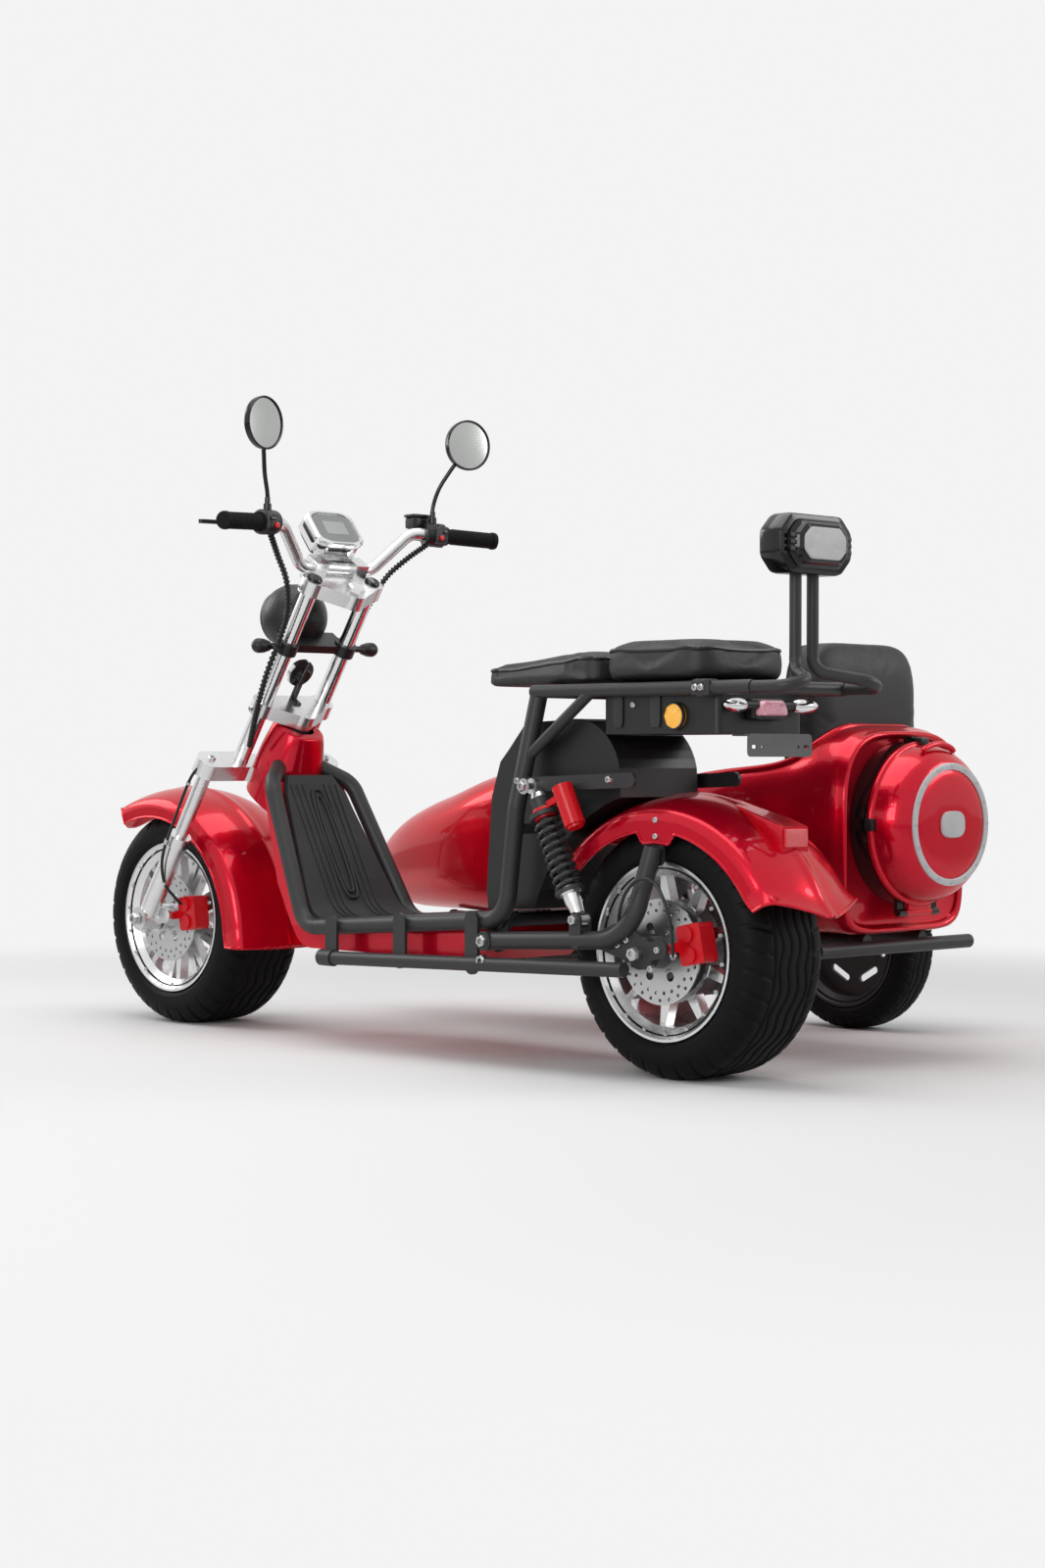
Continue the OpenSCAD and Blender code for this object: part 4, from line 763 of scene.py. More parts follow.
@dataclass
class SidecarHull:
    """Boat-shaped body: superellipse sections lofted from the tail to the nose, open at the cockpit."""

    middle_y: float = -0.495
    wall: float = 0.008
    roll: float = 0.0075
    cockpit: tuple[float, float] = (-0.03, 0.74)
    opening: float = 0.362
    stations: Sequence[Sequence[float]] = (
        (-0.095, 0.190, 0.2550, 0.650, 7.0, 3.5), (-0.081, 0.196, 0.2513, 0.656, 7.0, 3.5),
        (-0.04, 0.196, 0.2513, 0.661, 6.0, 3.5), (0.04, 0.196, 0.2513, 0.632, 6.0, 4.0),
        (0.24, 0.196, 0.2513, 0.592, 6.0, 5.5), (0.5, 0.196, 0.2513, 0.567, 5.5, 5.5),
        (0.76, 0.196, 0.2513, 0.590, 5.0, 4.5), (0.95, 0.188, 0.2513, 0.560, 4.0, 3.6),
        (1.08, 0.168, 0.2513, 0.524, 3.4, 3.2), (1.19, 0.140, 0.2513, 0.495, 3.0, 3.0),
        (1.3, 0.102, 0.2553, 0.459, 2.6, 2.6), (1.385, 0.060, 0.2773, 0.416, 2.3, 2.3),
        (1.43, 0.024, 0.3133, 0.384, 2.0, 2.0),
    )

    def build(self) -> None:
        """Makes the shell with its rolled edge, and the trim line along it."""
        skin, edge = self.shell()
        hull = piece("sidecar_hull", [skin], Look.PAINT_RED, "chassis", sharp=40.0)
        add_modifier(hull, "SOLIDIFY", thickness=self.wall, offset=-1.0)
        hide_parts("sidecar_body")
        piece("sidecar_edge_roll", [tube(edge, self.roll, 14, True)], Look.PAINT_RED, "chassis")

    def shell(self) -> tuple[Skin, Array]:
        """Lofts the outer skin.

        Each section is a superellipse in polar form: at angle t from the top its reach is the power mean of the
        half width and half height. Where the cockpit is open, the section starts and ends at the opening's edge.

        Returns:
            The skin, and the loop of points along the opening's edge.
        """
        table = np.asarray(self.stations)
        start, stop = self.cockpit
        inside = (start + stop) / 2 - (stop - start) / 2 * np.cos(np.linspace(0, np.pi, 90))
        x = np.concatenate([
            np.linspace(table[0, 0], start, 9)[:-1], inside, np.linspace(stop, table[-1, 0], 60)[1:],
        ])
        half, low, high, power, crown = (self.along(table[:, 0], table[:, k], x) for k in range(1, 6))
        plan = np.clip(1 - np.abs((2 * x - start - stop) / (stop - start)) ** 7, 0, 1) ** (1 / 7)
        width = self.opening / 2 * plan
        tall = (high - low) / 2
        lip_z = tall * np.clip(1 - (width / half) ** crown, 0, 1) ** (1 / crown)
        first = np.arctan2(width, lip_z)
        turn = first[:, None] + np.linspace(0, 1, 121) * (2 * np.pi - 2 * first[:, None])
        sine, cosine = np.abs(np.sin(turn)), np.abs(np.cos(turn))
        bulge = np.where(np.cos(turn) > 0, crown[:, None], power[:, None])
        reach = ((sine / half[:, None]) ** bulge + (cosine / tall[:, None]) ** bulge) ** (-1 / bulge)
        y = reach * np.sin(turn)
        z = reach * np.cos(turn)
        middle = ((low + high) / 2)[:, None]
        rows = np.stack([np.broadcast_to(x[:, None], y.shape), self.middle_y + y, middle + z], -1)
        tail = self.shrunk(
            rows[0], (0.997, 0.985, 0.965, 0.945, 0.93, 0.92, 0.905, 0.6, 0.3, 0.0),
            (-0.005, -0.009, -0.0105, -0.009, -0.004, 0.0, 0.001, 0.001, 0.001, 0.001),
        )
        nose = self.shrunk(rows[-1], (0.94, 0.8, 0.55, 0.0), (0.004, 0.008, 0.011, 0.0125))
        edge_left = np.stack([inside, self.middle_y + width[8:98], middle[8:98, 0] + lip_z[8:98]], -1)
        edge_right = edge_left * (1, 0, 1) + np.stack([0 * inside, self.middle_y - width[8:98], 0 * inside], -1)
        loop = np.concatenate([edge_left[1:-1], edge_right[-2:0:-1]])
        return grid(np.concatenate([tail[::-1], rows, nose])), loop

    @staticmethod
    def along(knots: Array, values: Array, x: Array) -> Array:
        """Cubic curve through knots, piece by piece; its slope is the mean of both sides', or 0 at a turning point.

        Args:
            knots: Rising places of the known values.
            values: The known values.
            x: Places where the curve is wanted.
        Returns:
            The curve's values at x.
        """
        steps = np.diff(values) / np.diff(knots)
        slope = np.concatenate(
            [[0.0], np.where(steps[1:] * steps[:-1] > 0, (steps[1:] + steps[:-1]) / 2, 0), [steps[-1]]]
        )
        span = np.clip(np.searchsorted(knots, x, "right") - 1, 0, len(knots) - 2)
        size = np.diff(knots)[span]
        t = (x - knots[span]) / size
        left = (1 + 2 * t) * (1 - t) ** 2 * values[span] + t * (1 - t) ** 2 * size * slope[span]
        return left + t**2 * (3 - 2 * t) * values[span + 1] + t**2 * (t - 1) * size * slope[span + 1]

    @staticmethod
    def shrunk(ring: Array, scales: Sequence[float], shifts: Sequence[float]) -> Array:
        """Copies of an end section, drawn together towards its middle and moved along, to close the end."""
        middle = ring.mean(0)
        factors = np.asarray(scales)[:, None, None]
        rows = middle + (ring - middle) * factors
        rows[:, :, 0] = ring[0, 0] + np.asarray(shifts)[:, None]
        return rows


# Fenders


@dataclass
class Fender:
    """Wheel arch with flat sides, a soft crease, a crowned top with a ridge, and a rolled edge."""

    node: str
    body: str
    centre: tuple[float, float]
    span: tuple[float, float]
    cut: tuple[float, float]
    tab: Optional[float] = None
    radius: float = 0.335
    rise: float = 0.03
    half: float = 0.12
    depth: float = 0.066
    sheet: float = 0.003
    flare: float = 0.012

    def build(self) -> None:
        """Makes the arch, its rolled edges and its crown ridge."""
        rows = self.arch(np.linspace(0, 1, 140)[:, None])
        made = piece(self.node + "_arch", [grid(rows)], Look.PAINT_RED, self.body, sharp=40.0)
        add_modifier(made, "SOLIDIFY", thickness=self.sheet, offset=-1.0, use_even_offset=True)
        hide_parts(self.node)
        edge = np.concatenate([rows[:, 0], rows[-1, 1:-1], rows[::-1, -1], rows[0, -2:0:-1]])
        rolled = tube(edge, 0.003, 8, True, (0.13, 0.99, 0.05))
        piece(self.node + "_edge", [rolled], Look.PAINT_RED, self.body)

    def arch(self, share: Array) -> Array:
        """Points of the arch.

        The section is a low circular arch with a narrow ridge, which breaks into upright sides at a crease. The ends
        are cut back towards the sides, so that they come to a point. The lower edge follows the wheel, drops to the
        tab where there is one, and turns outwards at the rear end.

        Args:
            share: Parts of the way from the first end to the second, as a column.
        Returns:
            Rows of points, one for each share.
        """
        place = np.linspace(-1, 1, 61)
        side = np.clip((np.abs(place) - 0.66) / 0.34, 0, 1)
        top = np.clip(np.abs(place) / 0.66, 0, 1)
        across = np.sign(place) * self.half * top
        bow = (self.half**2 + self.rise**2) / (2 * self.rise)
        drop = bow - np.sqrt(bow**2 - across**2) + 0.013 * np.clip((top - 0.93) / 0.07, 0, 1) ** 1.5
        ridge = 0.0035 * np.exp(-((place / 0.055) ** 2))
        reach = np.sqrt(top**2 + 0.02) - math.sqrt(0.02)
        first, last = self.span[0] + self.cut[0] * reach, self.span[1] - self.cut[1] * reach
        turn = first + share * (last - first)
        low = np.full(turn.shape, self.depth)
        if self.tab is not None:
            gap = np.clip((np.abs(turn - self.tab) - 7.0) / 3.5, 0, 1)
            low = low + 0.0225 * (1 - gap**2 * (3 - 2 * gap))
        end = np.clip((share - 0.93) / 0.07, 0, 1) ** 2
        lift = drop + side * (low - drop.max())
        radius = self.radius - lift + ridge + self.flare * end
        angle = np.radians(turn)
        x = self.centre[0] + radius * np.cos(angle)
        z = self.centre[1] + radius * np.sin(angle)
        return np.stack([x, across * (1 + 0.05 * end) + 0 * x, z], -1)


# Seats


@dataclass
class Pad:
    """Leather cushion: a rounded box, swelled by air pressure in a cloth simulation, with piping round its edge."""

    node: str
    inset: float = 0.005
    power: float = 9.0
    cap: float = 0.007
    voxel: float = 0.006
    piping: float = 0.0042
    narrow: float = 0.0
    thin: float = 0.0
    upright: bool = False
    low: Sequence[float] = (math.nan,) * 3
    high: Sequence[float] = (math.nan,) * 3

    def build(self) -> None:
        """Makes the cushion, lets it swell, and lays the piping on it."""
        low, high = (np.array(corner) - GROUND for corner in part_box(self.node))
        low = np.where(np.isnan(self.low), low, self.low)
        high = np.where(np.isnan(self.high), high, self.high)
        start = self.shaped(
            block(low + self.inset * np.array([1, 1, 0.2]), high - self.inset, self.power, 48), low, high
        )
        cushion = piece(self.node + "_cover", [start], Look.SEAT_LEATHER, "chassis", sharp=70.0)
        self.swell(cushion)
        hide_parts(self.node)
        seam = self.shaped(Skin(self.seam(low, high), np.zeros((0, 4), int)), low, high).points
        welt = self.laid(cushion, seam)
        piece(self.node + "_piping", [tube(welt, self.piping, 10, True, (0, 0, 1) if not self.upright else (1, 0, 0))],
              Look.PIPING, "chassis", "seat_leather")

    def shaped(self, skin: Skin, low: Array, high: Array) -> Skin:
        """Draws the front together and down, for a seat whose nose is narrower and thinner than its rear.

        Args:
            skin: The surface to shape.
            low: Lower corner of the cushion's box.
            high: Upper corner of the cushion's box.
        Returns:
            The shaped surface.
        """
        along = np.clip((skin.points[:, 0] - low[0]) / (high[0] - low[0]), 0, 1)
        ease = along**2 * (3 - 2 * along)
        middle = (low[1] + high[1]) / 2
        y = middle + (skin.points[:, 1] - middle) * (1 - self.narrow * ease)
        z = skin.points[:, 2] - self.thin * ease * (skin.points[:, 2] - low[2]) / (high[2] - low[2])
        return Skin(np.stack([skin.points[:, 0], y, z], -1), skin.faces)

    def seam(self, low: Array, high: Array) -> Array:
        """Loop along the edge of the top panel, or of the front panel where the cushion stands upright.

        Args:
            low: Lower corner of the cushion's box.
            high: Upper corner of the cushion's box.
        Returns:
            Points on a closed, rounded rectangle just under the panel's face.
        """
        turn = np.linspace(0, 2 * np.pi, 160, endpoint=False)
        middle, half = (low + high) / 2, (high - low) / 2
        first, second, face = (1, 2, 0) if self.upright else (0, 1, 2)
        power = 2 / 9
        loop = np.zeros((160, 3))
        loop[:, first] = middle[first] + half[first] * np.sign(np.cos(turn)) * np.abs(np.cos(turn)) ** power
        loop[:, second] = middle[second] + half[second] * np.sign(np.sin(turn)) * np.abs(np.sin(turn)) ** power
        loop[:, face] = high[face] - 0.006
        return spline(loop[::2], 240, True)

    def swell(self, cushion: bpy.types.Object) -> None:
        """Remeshes the cushion evenly, blows it up a little with its underside held, and smooths it.

        Args:
            cushion: The cushion's object.
        """
        add_modifier(cushion, "REMESH", mode="VOXEL", voxel_size=self.voxel)
        self.apply(cushion)
        before = self.points(cushion)
        held = cushion.vertex_groups.new(name="underside")
        floor = before[:, 2].min() + 0.008
        held.add(np.flatnonzero(before[:, 2] < floor).tolist(), 1.0, "REPLACE")
        cloth = cushion.modifiers.new("cloth", "CLOTH")
        cloth.settings.use_pressure = True
        cloth.settings.uniform_pressure_force = 4.0
        cloth.settings.effector_weights.gravity = 0.0
        cloth.settings.vertex_group_mass = "underside"
        scene = bpy.context.scene
        for step in range(1, 21):
            scene.frame_set(step)
        self.apply(cushion)
        scene.frame_set(1)
        move = self.points(cushion) - before
        size = np.linalg.norm(move, axis=1, keepdims=True)
        after = before + move * np.minimum(1.0, self.cap / np.maximum(size, 1e-9))
        cushion.data.vertices.foreach_set("co", after.ravel())
        cushion.data.shade_smooth()
        cushion.data.update()
        add_modifier(cushion, "SUBSURF", levels=1, render_levels=1)

    @staticmethod
    def points(cushion: bpy.types.Object) -> Array:
        """The mesh's points."""
        flat = np.empty(len(cushion.data.vertices) * 3)
        cushion.data.vertices.foreach_get("co", flat)
        return flat.reshape(-1, 3)

    @staticmethod
    def apply(cushion: bpy.types.Object) -> None:
        """Makes the modifiers' result the mesh itself."""
        graph = bpy.context.evaluated_depsgraph_get()
        made = bpy.data.meshes.new_from_object(cushion.evaluated_get(graph))
        cushion.modifiers.clear()
        cushion.data = made

    @staticmethod
    def laid(cushion: bpy.types.Object, loop: Array) -> Array:
        """Moves each point of a loop to the nearest place on the cushion."""
        found = [cushion.closest_point_on_mesh(Vector(point + GROUND)) for point in loop]
        return np.array([hit[1] for hit in found]) - GROUND


# Small solids


def outline(corners: Sequence, radius: float, steps: int = 5) -> Array:
    """Closed flat outline with rounded corners: each corner is a parabola between points a radius away from it.

    Args:
        corners: Corners in order, as pairs.
        radius: How far from a corner the rounding starts.
        steps: Points on each corner.
    Returns:
        Pairs along the outline.
    """
    held = np.asarray(corners, float)
    before = held + radius * unit(np.roll(held, 1, 0) - held)
    after = held + radius * unit(np.roll(held, -1, 0) - held)
    t = np.linspace(0, 1, steps)[None, :, None]
    bend = (1 - t) ** 2 * before[:, None] + 2 * t * (1 - t) * held[:, None] + t**2 * after[:, None]
    return bend.reshape(-1, 2)


def oval(wide: float, tall: float, power: float = 2.0, count: int = 40) -> Array:
    """Superellipse outline with the given half sizes."""
    turn = np.linspace(0, 2 * np.pi, count, endpoint=False)
    swell = np.stack([np.cos(turn), np.sin(turn)], -1)
    return np.sign(swell) * np.abs(swell) ** (2 / power) * (wide, tall)


def plaque(flat: Array, rings: Sequence, centre: Sequence[float], right: Sequence[float], up: Sequence[float]) -> Skin:
    """Stacks copies of an outline: each ring is the outline times its first number, moved out by its second.

    Args:
        flat: Pairs along the outline.
        rings: Pairs of scale and height; a scale of 0 closes an end.
        centre: Where the outline's origin goes.
        right: Direction of the outline's first axis.
        up: Direction of its second axis.
    Returns:
        The surface.
    """
    right, up = unit(right), unit(up)
    steps = np.asarray(rings, float)[:, None]
    spread = steps[..., :1] * flat
    points = spread[..., :1] * right + spread[..., 1:] * up + steps[..., 1:] * np.cross(right, up)
    return grid(np.asarray(centre) + points, False, True)


def both(*skins: Skin) -> list[Skin]:
    """The surfaces and their mirror images."""
    return [*skins, *(skin.mirrored() for skin in skins)]


# Trunk


@dataclass
class TrunkLid:
    """Round domed lid on the sidecar's tail, with a pale ring, rivets, a lock and clasps."""

    centre: tuple[float, float, float] = (-0.1336, -0.495, 0.468)
    sheet: float = 0.004
    ring: tuple[float, float] = (0.106, 0.1195)
    rivets: int = 16
    dome: Sequence[Sequence[float]] = (
        (0.0, 0.154), (0.0, 0.1585), (0.003, 0.161), (0.009, 0.161), (0.012, 0.1585), (0.0135, 0.1545),
        (0.02, 0.1535), (0.032, 0.1515), (0.045, 0.1475), (0.056, 0.1415), (0.066, 0.134), (0.074, 0.125),
        (0.079, 0.1195), (0.08, 0.106), (0.082, 0.101), (0.0835, 0.09), (0.084, 0.05), (0.0842, 0.0),
    )

    def build(self) -> None:
        """Makes the lid and what sits on it."""
        outer = np.asarray(self.dome)
        inner = np.clip(outer - (self.sheet, self.sheet), (0.0, 0.0), None)
        shell = lathe(np.concatenate([inner[::-1], outer]), self.centre, (-1, 0, 0), 96)
        x, y, z = self.centre
        pin = z - 0.173
        knuckle = tube([(x, y - 0.039, pin), (x, y, pin), (x, y + 0.039, pin)], 0.0074, 20)
        leaf = block((x - 0.008, y - 0.036, pin + 0.004), (x - 0.001, y + 0.036, pin + 0.03), 14.0, 12)
        grip = self.round(np.linspace(1.25, 1.9, 24), 0.05, 0.15)
        lift = 0.006 * np.sin(np.linspace(0, np.pi, 24)) ** 0.5
        handle = tube(grip + lift[:, None] * unit(grip - np.array(self.centre)), 0.0055, 12, False, (1, 0, 0))
        lid = piece("trunk_lid_dome", [shell, knuckle, leaf, handle], Look.PAINT_RED, "trunk_lid", sharp=45.0)
        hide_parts("trunk_lid")
        low, high = self.ring
        band = lathe(
            [
                (0.0785, low), (0.0828, low), (0.0838, low + 0.002), (0.0838, high - 0.002), (0.0826, high),
                (0.0785, high)
            ],
            self.centre, (-1, 0, 0), 96, True,
        )
        piece("trunk_ring", [band], Look.TRIM_WHITE, "trunk_lid", "alloy")
        spots = self.round(np.arange(self.rivets) * 2 * np.pi / self.rivets, 0.0838, (low + high) / 2)
        piece("trunk_rivets", [heads(spots, (-1, 0, 0), 0.0032, 0.0016, 10)], Look.STEEL, "trunk_lid")
        plate = plaque(
            oval(0.036, 0.026, 3.0), [(0, 0), (1, 0), (1, 0.004), (0.92, 0.0065), (0.5, 0.007), (0, 0.007)],
            (x - 0.0838, y, z), (0, -1, 0), (0, 0, 1),
        )
        piece("trunk_lock", [plate], Look.TRIM_WHITE, "trunk_lid", "alloy")
        clasps = [
            block((x - 0.02, y - 0.012, z + 0.152), (x - 0.001, y + 0.012, z + 0.168), 10.0, 12),
            block((x - 0.02, y + 0.152, z - 0.012), (x - 0.001, y + 0.168, z + 0.012), 10.0, 12),
        ]
        piece("trunk_clasps", clasps, Look.PLASTIC_BLACK, "trunk_lid")

    def round(self, turn: Array, out: float, radius: float) -> Array:
        """Points at a distance behind the lid's edge and a radius from its middle, for angles from the left side."""
        across = radius * np.stack([0 * turn, np.cos(turn), np.sin(turn)], -1)
        return np.asarray(self.centre) + across - np.array([out, 0, 0])


# Handlebar


@dataclass
class Cockpit:
    """Mirror glasses, gauge, switches, cables and caps round the handlebar."""

    rake: float = RAKE
    mirror: tuple[float, float, float] = (0.932, 0.284, 1.278)
    mirror_turn: float = math.radians(11.0)
    pod: tuple[float, float, float] = (0.9844, 0.2354, 1.0822)
    bar: tuple[float, float, float] = (-0.055, 0.195, -0.010)
    gauge_tilt: float = math.radians(52.0)

    def fork(self, u: float, y: float, w: float) -> Array:
        """A point of the fork: u ahead of, and w up along, the line through the front axle."""
        sine, cosine = math.sin(self.rake), math.cos(self.rake)
        return np.array([WHEELBASE + u * cosine - w * sine, y, AXLE_HEIGHT + u * sine + w * cosine])

    def build(self) -> None:
        """Makes all pieces on the steering body."""
        self.mirrors()
        self.gauge()
        self.switches()
        self.looms()
        self.fork_trim()

    def mirrors(self) -> None:
        """Round mirrors that face the rider: shells, glasses a little proud of their seats, and bent stems."""
        face = (-math.cos(self.mirror_turn), -math.sin(self.mirror_turn), 0.0)
        back = np.linspace(0, np.pi / 2, 12)
        bowl = np.stack([-0.004 - 0.014 * np.cos(back), 0.054 * np.sin(back)], -1)
        lip = [(0.0, 0.0548), (0.0062, 0.0548), (0.0078, 0.0533), (0.0072, 0.0508), (0.003, 0.0505), (0.003, 0.0)]
        foot = np.array([0.9857, 0.2306, 1.1037])
        stem = spline(
            [
                foot, foot + (0, 0, 0.036), foot + (-0.006, 0.012, 0.078), foot + (-0.024, 0.029, 0.118),
                np.array(self.mirror) + (0.01, -0.006, -0.02)
            ],
            60
        )
        nut = lathe(
            [(-0.002, 0), (-0.002, 0.0085), (0.016, 0.0085), (0.018, 0.006), (0.03, 0.0058), (0.03, 0)], foot,
            (0, 0, 1), 16
        )
        shells = both(
            lathe(np.concatenate([bowl, lip]), self.mirror, face, 56), tube(stem, 0.0046, 12, False, (0, 1, 0)), nut
        )
        made = piece("mirror_shells", shells, Look.GLOSS_BLACK, "steering")
        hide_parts("mirrors")
        glass = lathe(
            [(0.0035, 0.0), (0.0035, 0.0503), (0.0048, 0.0503), (0.0058, 0.03), (0.0062, 0.0)], self.mirror, face, 56
        )
        piece("mirror_glass", both(glass), Look.MIRROR, "steering", "chrome", 60.0)

    def gauge(self) -> None:
        """Bright six-sided rim round a grey screen, which leans back to the rider."""
        centre = self.fork(0.093, 0.0, 0.941)
        tilt = self.gauge_tilt
        along = (math.cos(tilt), 0.0, math.sin(tilt))
        corners = [
            (-0.034, -0.062), (0.034, -0.062), (0.046, -0.036), (0.046, 0.036), (0.034, 0.062), (-0.034, 0.062),
            (-0.046, 0.036), (-0.046, -0.036)
        ]
        flat = outline(corners, 0.011)
        rim = [
            (0.99, 0.004), (1.05, 0.008), (1.07, 0.0145), (1.05, 0.0205), (0.98, 0.0235), (0.9, 0.023), (0.88, 0.0195),
            (0.86, 0.004)
        ]
        piece("gauge_rim", [plaque(flat, rim + rim[:1], centre, along, (0, 1, 0))], Look.CHROME, "steering")
        screen = [(0.9, 0.0183), (0.89, 0.0203), (0.5, 0.0213), (0, 0.0215)]
        piece("gauge_screen", [plaque(flat, screen, centre, along, (0, 1, 0))], Look.SCREEN, "steering", "gloss_black")
        lines = outline([(-0.018, -0.03), (0.018, -0.03), (0.018, 0.03), (-0.018, 0.03)], 0.004)
        panel = [(1, 0.0209), (1, 0.0218), (0, 0.0221)]
        piece(
            "gauge_panel", [plaque(lines, panel, centre, along, (0, 1, 0))], Look.GLASS_GREY, "steering", "gloss_black"
        )
        cup = [(0.8, -0.032), (0.96, -0.02), (1.01, 0.0), (1.02, 0.009), (0.9, 0.012)]
        piece("gauge_cup", [plaque(flat, cup, centre, along, (0, 1, 0))], Look.GLOSS_BLACK, "steering")

    def switches(self) -> None:
        """Switch boxes with ribs, a red button and a slide, the brake's fluid box and grip ends."""
        pod = np.array(self.pod)
        way = unit(self.bar)
        body = lathe(
            [
                (-0.027, 0.0), (-0.027, 0.0215), (-0.024, 0.0255), (-0.003, 0.0262), (0.001, 0.0235), (0.004, 0.0262),
                (0.017, 0.0262), (0.021, 0.0215), (0.0245, 0.0195), (0.0245, 0.0)
            ],
            pod, way, 28,
        )
        box = block(pod + (-0.029, -0.018, -0.02), pod + (0.008, 0.018, 0.016), 6.0, 14)
        piece("switch_boxes", both(body, box), Look.PLASTIC_BLACK, "steering")
        button = lathe(
            [(0, 0), (0, 0.0062), (0.003, 0.0062), (0.0042, 0.005), (0.0045, 0)], pod + (-0.0285, -0.006, -0.008),
            (-1, 0, 0), 16
        )
        piece("start_buttons", both(button), Look.CALIPER_RED, "steering")
        slide = block(pod + (-0.0325, -0.001, 0.002), pod + (-0.028, 0.012, 0.008), 8.0, 8)
        piece("switch_slides", both(slide), Look.GLOSS_BLACK, "steering")
        tank = pod * (1, -1, 1) + np.array([0.034, 0.02, 0.028])
        fluid = [
            block(tank - (0.017, 0.024, 0.014), tank + (0.017, 0.024, 0.012), 9.0, 14),
            block(tank + (-0.019, -0.026, 0.011), tank + (0.019, 0.026, 0.018), 10.0, 12)
        ]
        piece("brake_fluid_box", fluid, Look.PLASTIC_BLACK, "steering")
        tip = np.array([0.945, 0.375, 1.075])
        ends = lathe(
            [(-0.004, 0.0), (-0.004, 0.0178), (0.0, 0.0185), (0.004, 0.0175), (0.0052, 0.012), (0.005, 0.0)], tip, way,
            28
        )
        ridges = [
            lathe([(0.0, 0.016), (0.0008, 0.0176), (0.0022, 0.0176), (0.003, 0.016)], tip - way * d, way, 28)
            for d in np.arange(0.012, 0.11, 0.0062)
        ]
        piece("grip_ridges", both(ends, *ridges), Look.GRIP_RUBBER, "steering")

    def looms(self) -> None:
        """Corrugated wire looms from both switch boxes, and the front brake's hose along the left leg."""
        left = spline([
            (0.988, 0.222, 1.062), (1.004, 0.19, 1.02), (1.022, 0.15, 0.965), (1.046, 0.128, 0.905),
            (1.078, 0.124, 0.845),
            (1.118, 0.126, 0.775), (1.15, 0.122, 0.715), (1.18, 0.112, 0.665), (1.212, 0.098, 0.62),
        ], 340)
        right = spline(
            [
                (0.99, -0.216, 1.06), (1.012, -0.18, 1.03), (1.036, -0.142, 0.99), (1.064, -0.124, 0.94),
                (1.09, -0.108, 0.89), (1.108, -0.092, 0.85)
            ],
            220
        )
        waves = [
            0.0058 + 0.0012 * np.sign(np.sin(np.linspace(0, 2 * np.pi * len(path) / 6, len(path))))
            for path in (left, right)
        ]
        piece(
            "wire_looms", [tube(left, waves[0], 10, False, (0, 1, 0.1)), tube(right, waves[1], 10, False, (0, 1, 0.1))],
            Look.PLASTIC_BLACK, "steering", sharp=20.0
        )
        hose = spline([
            (1.262, 0.178, 0.585), (1.282, 0.192, 0.566), (1.306, 0.196, 0.532), (1.35, 0.196, 0.46),
            (1.398, 0.192, 0.38),
            (1.41, 0.178, 0.32), (1.41, 0.15, 0.288), (1.412, 0.132, 0.272),
        ], 120)
        piece("front_brake_hose", [tube(hose, 0.0034, 10, False, (0.3, 0.9, 0.1))], Look.PLASTIC_BLACK, "steering")
        clips = [tube(hose[k:k + 3], 0.0052, 10, False, (0.3, 0.9, 0.1)) for k in (30, 60, 84)]
        piece("hose_clips", clips, Look.STEEL, "steering")
        bracket = spline([(1.1, 0.02, 0.8), (1.12, 0.03, 0.76), (1.15, 0.02, 0.73), (1.16, 0.01, 0.715)], 40)
        piece("horn_wire", [tube(bracket, 0.0028, 8, False, (0, 1, 0))], Look.PLASTIC_BLACK, "steering")

    def fork_trim(self) -> None:
        """Caps on the tubes, clamp bolts, bolts of the lower arms, and a bright ring round the horn."""
        up = (-math.sin(self.rake), 0.0, math.cos(self.rake))
        caps = lathe(
            [(-0.002, 0), (-0.002, 0.0165), (0.003, 0.0165), (0.0055, 0.014), (0.0055, 0)], self.fork(0, 0.08, 0.8812),
            up, 32
        )
        piece("tube_caps", both(caps), Look.GLOSS_BLACK, "steering")
        spots = [self.fork(u, y, 0.903) for u in (0.023, 0.051) for y in (0.045, 0.065)]
        bolts = heads(spots, up, 0.0052, 0.005, 6)
        sides = heads([self.fork(0.0, 0.1067, 0.86), self.fork(0.0, 0.1067, 0.555)], (0, 1, 0), 0.0062, 0.006, 6)
        arms = heads([self.fork(0.0, 0.08, 0.4245), self.fork(0.0, 0.16, 0.4245)], up, 0.009, 0.006, 6)
        axle = heads([(WHEELBASE, 0.19, AXLE_HEIGHT)], (0, 1, 0), 0.0135, 0.01, 6)
        piece("fork_bolts", both(bolts, sides, arms, axle), Look.STEEL, "steering")
        stem = lathe([(0, 0), (0, 0.02), (0.012, 0.02), (0.015, 0.016), (0.015, 0)], self.fork(-0.044, 0, 0.88), up, 6)
        piece("stem_nut", [stem], Look.CHROME, "steering")
        ahead = (math.cos(self.rake), 0.0, math.sin(self.rake))
        horn = self.fork(0.012, 0.0, 0.64)
        ring = lathe([(-0.003, 0.0305), (0.006, 0.0325), (0.009, 0.031), (0.006, 0.0285)], horn, ahead, 40, True)
        piece("horn_ring", [ring], Look.CHROME, "steering")


# Tail


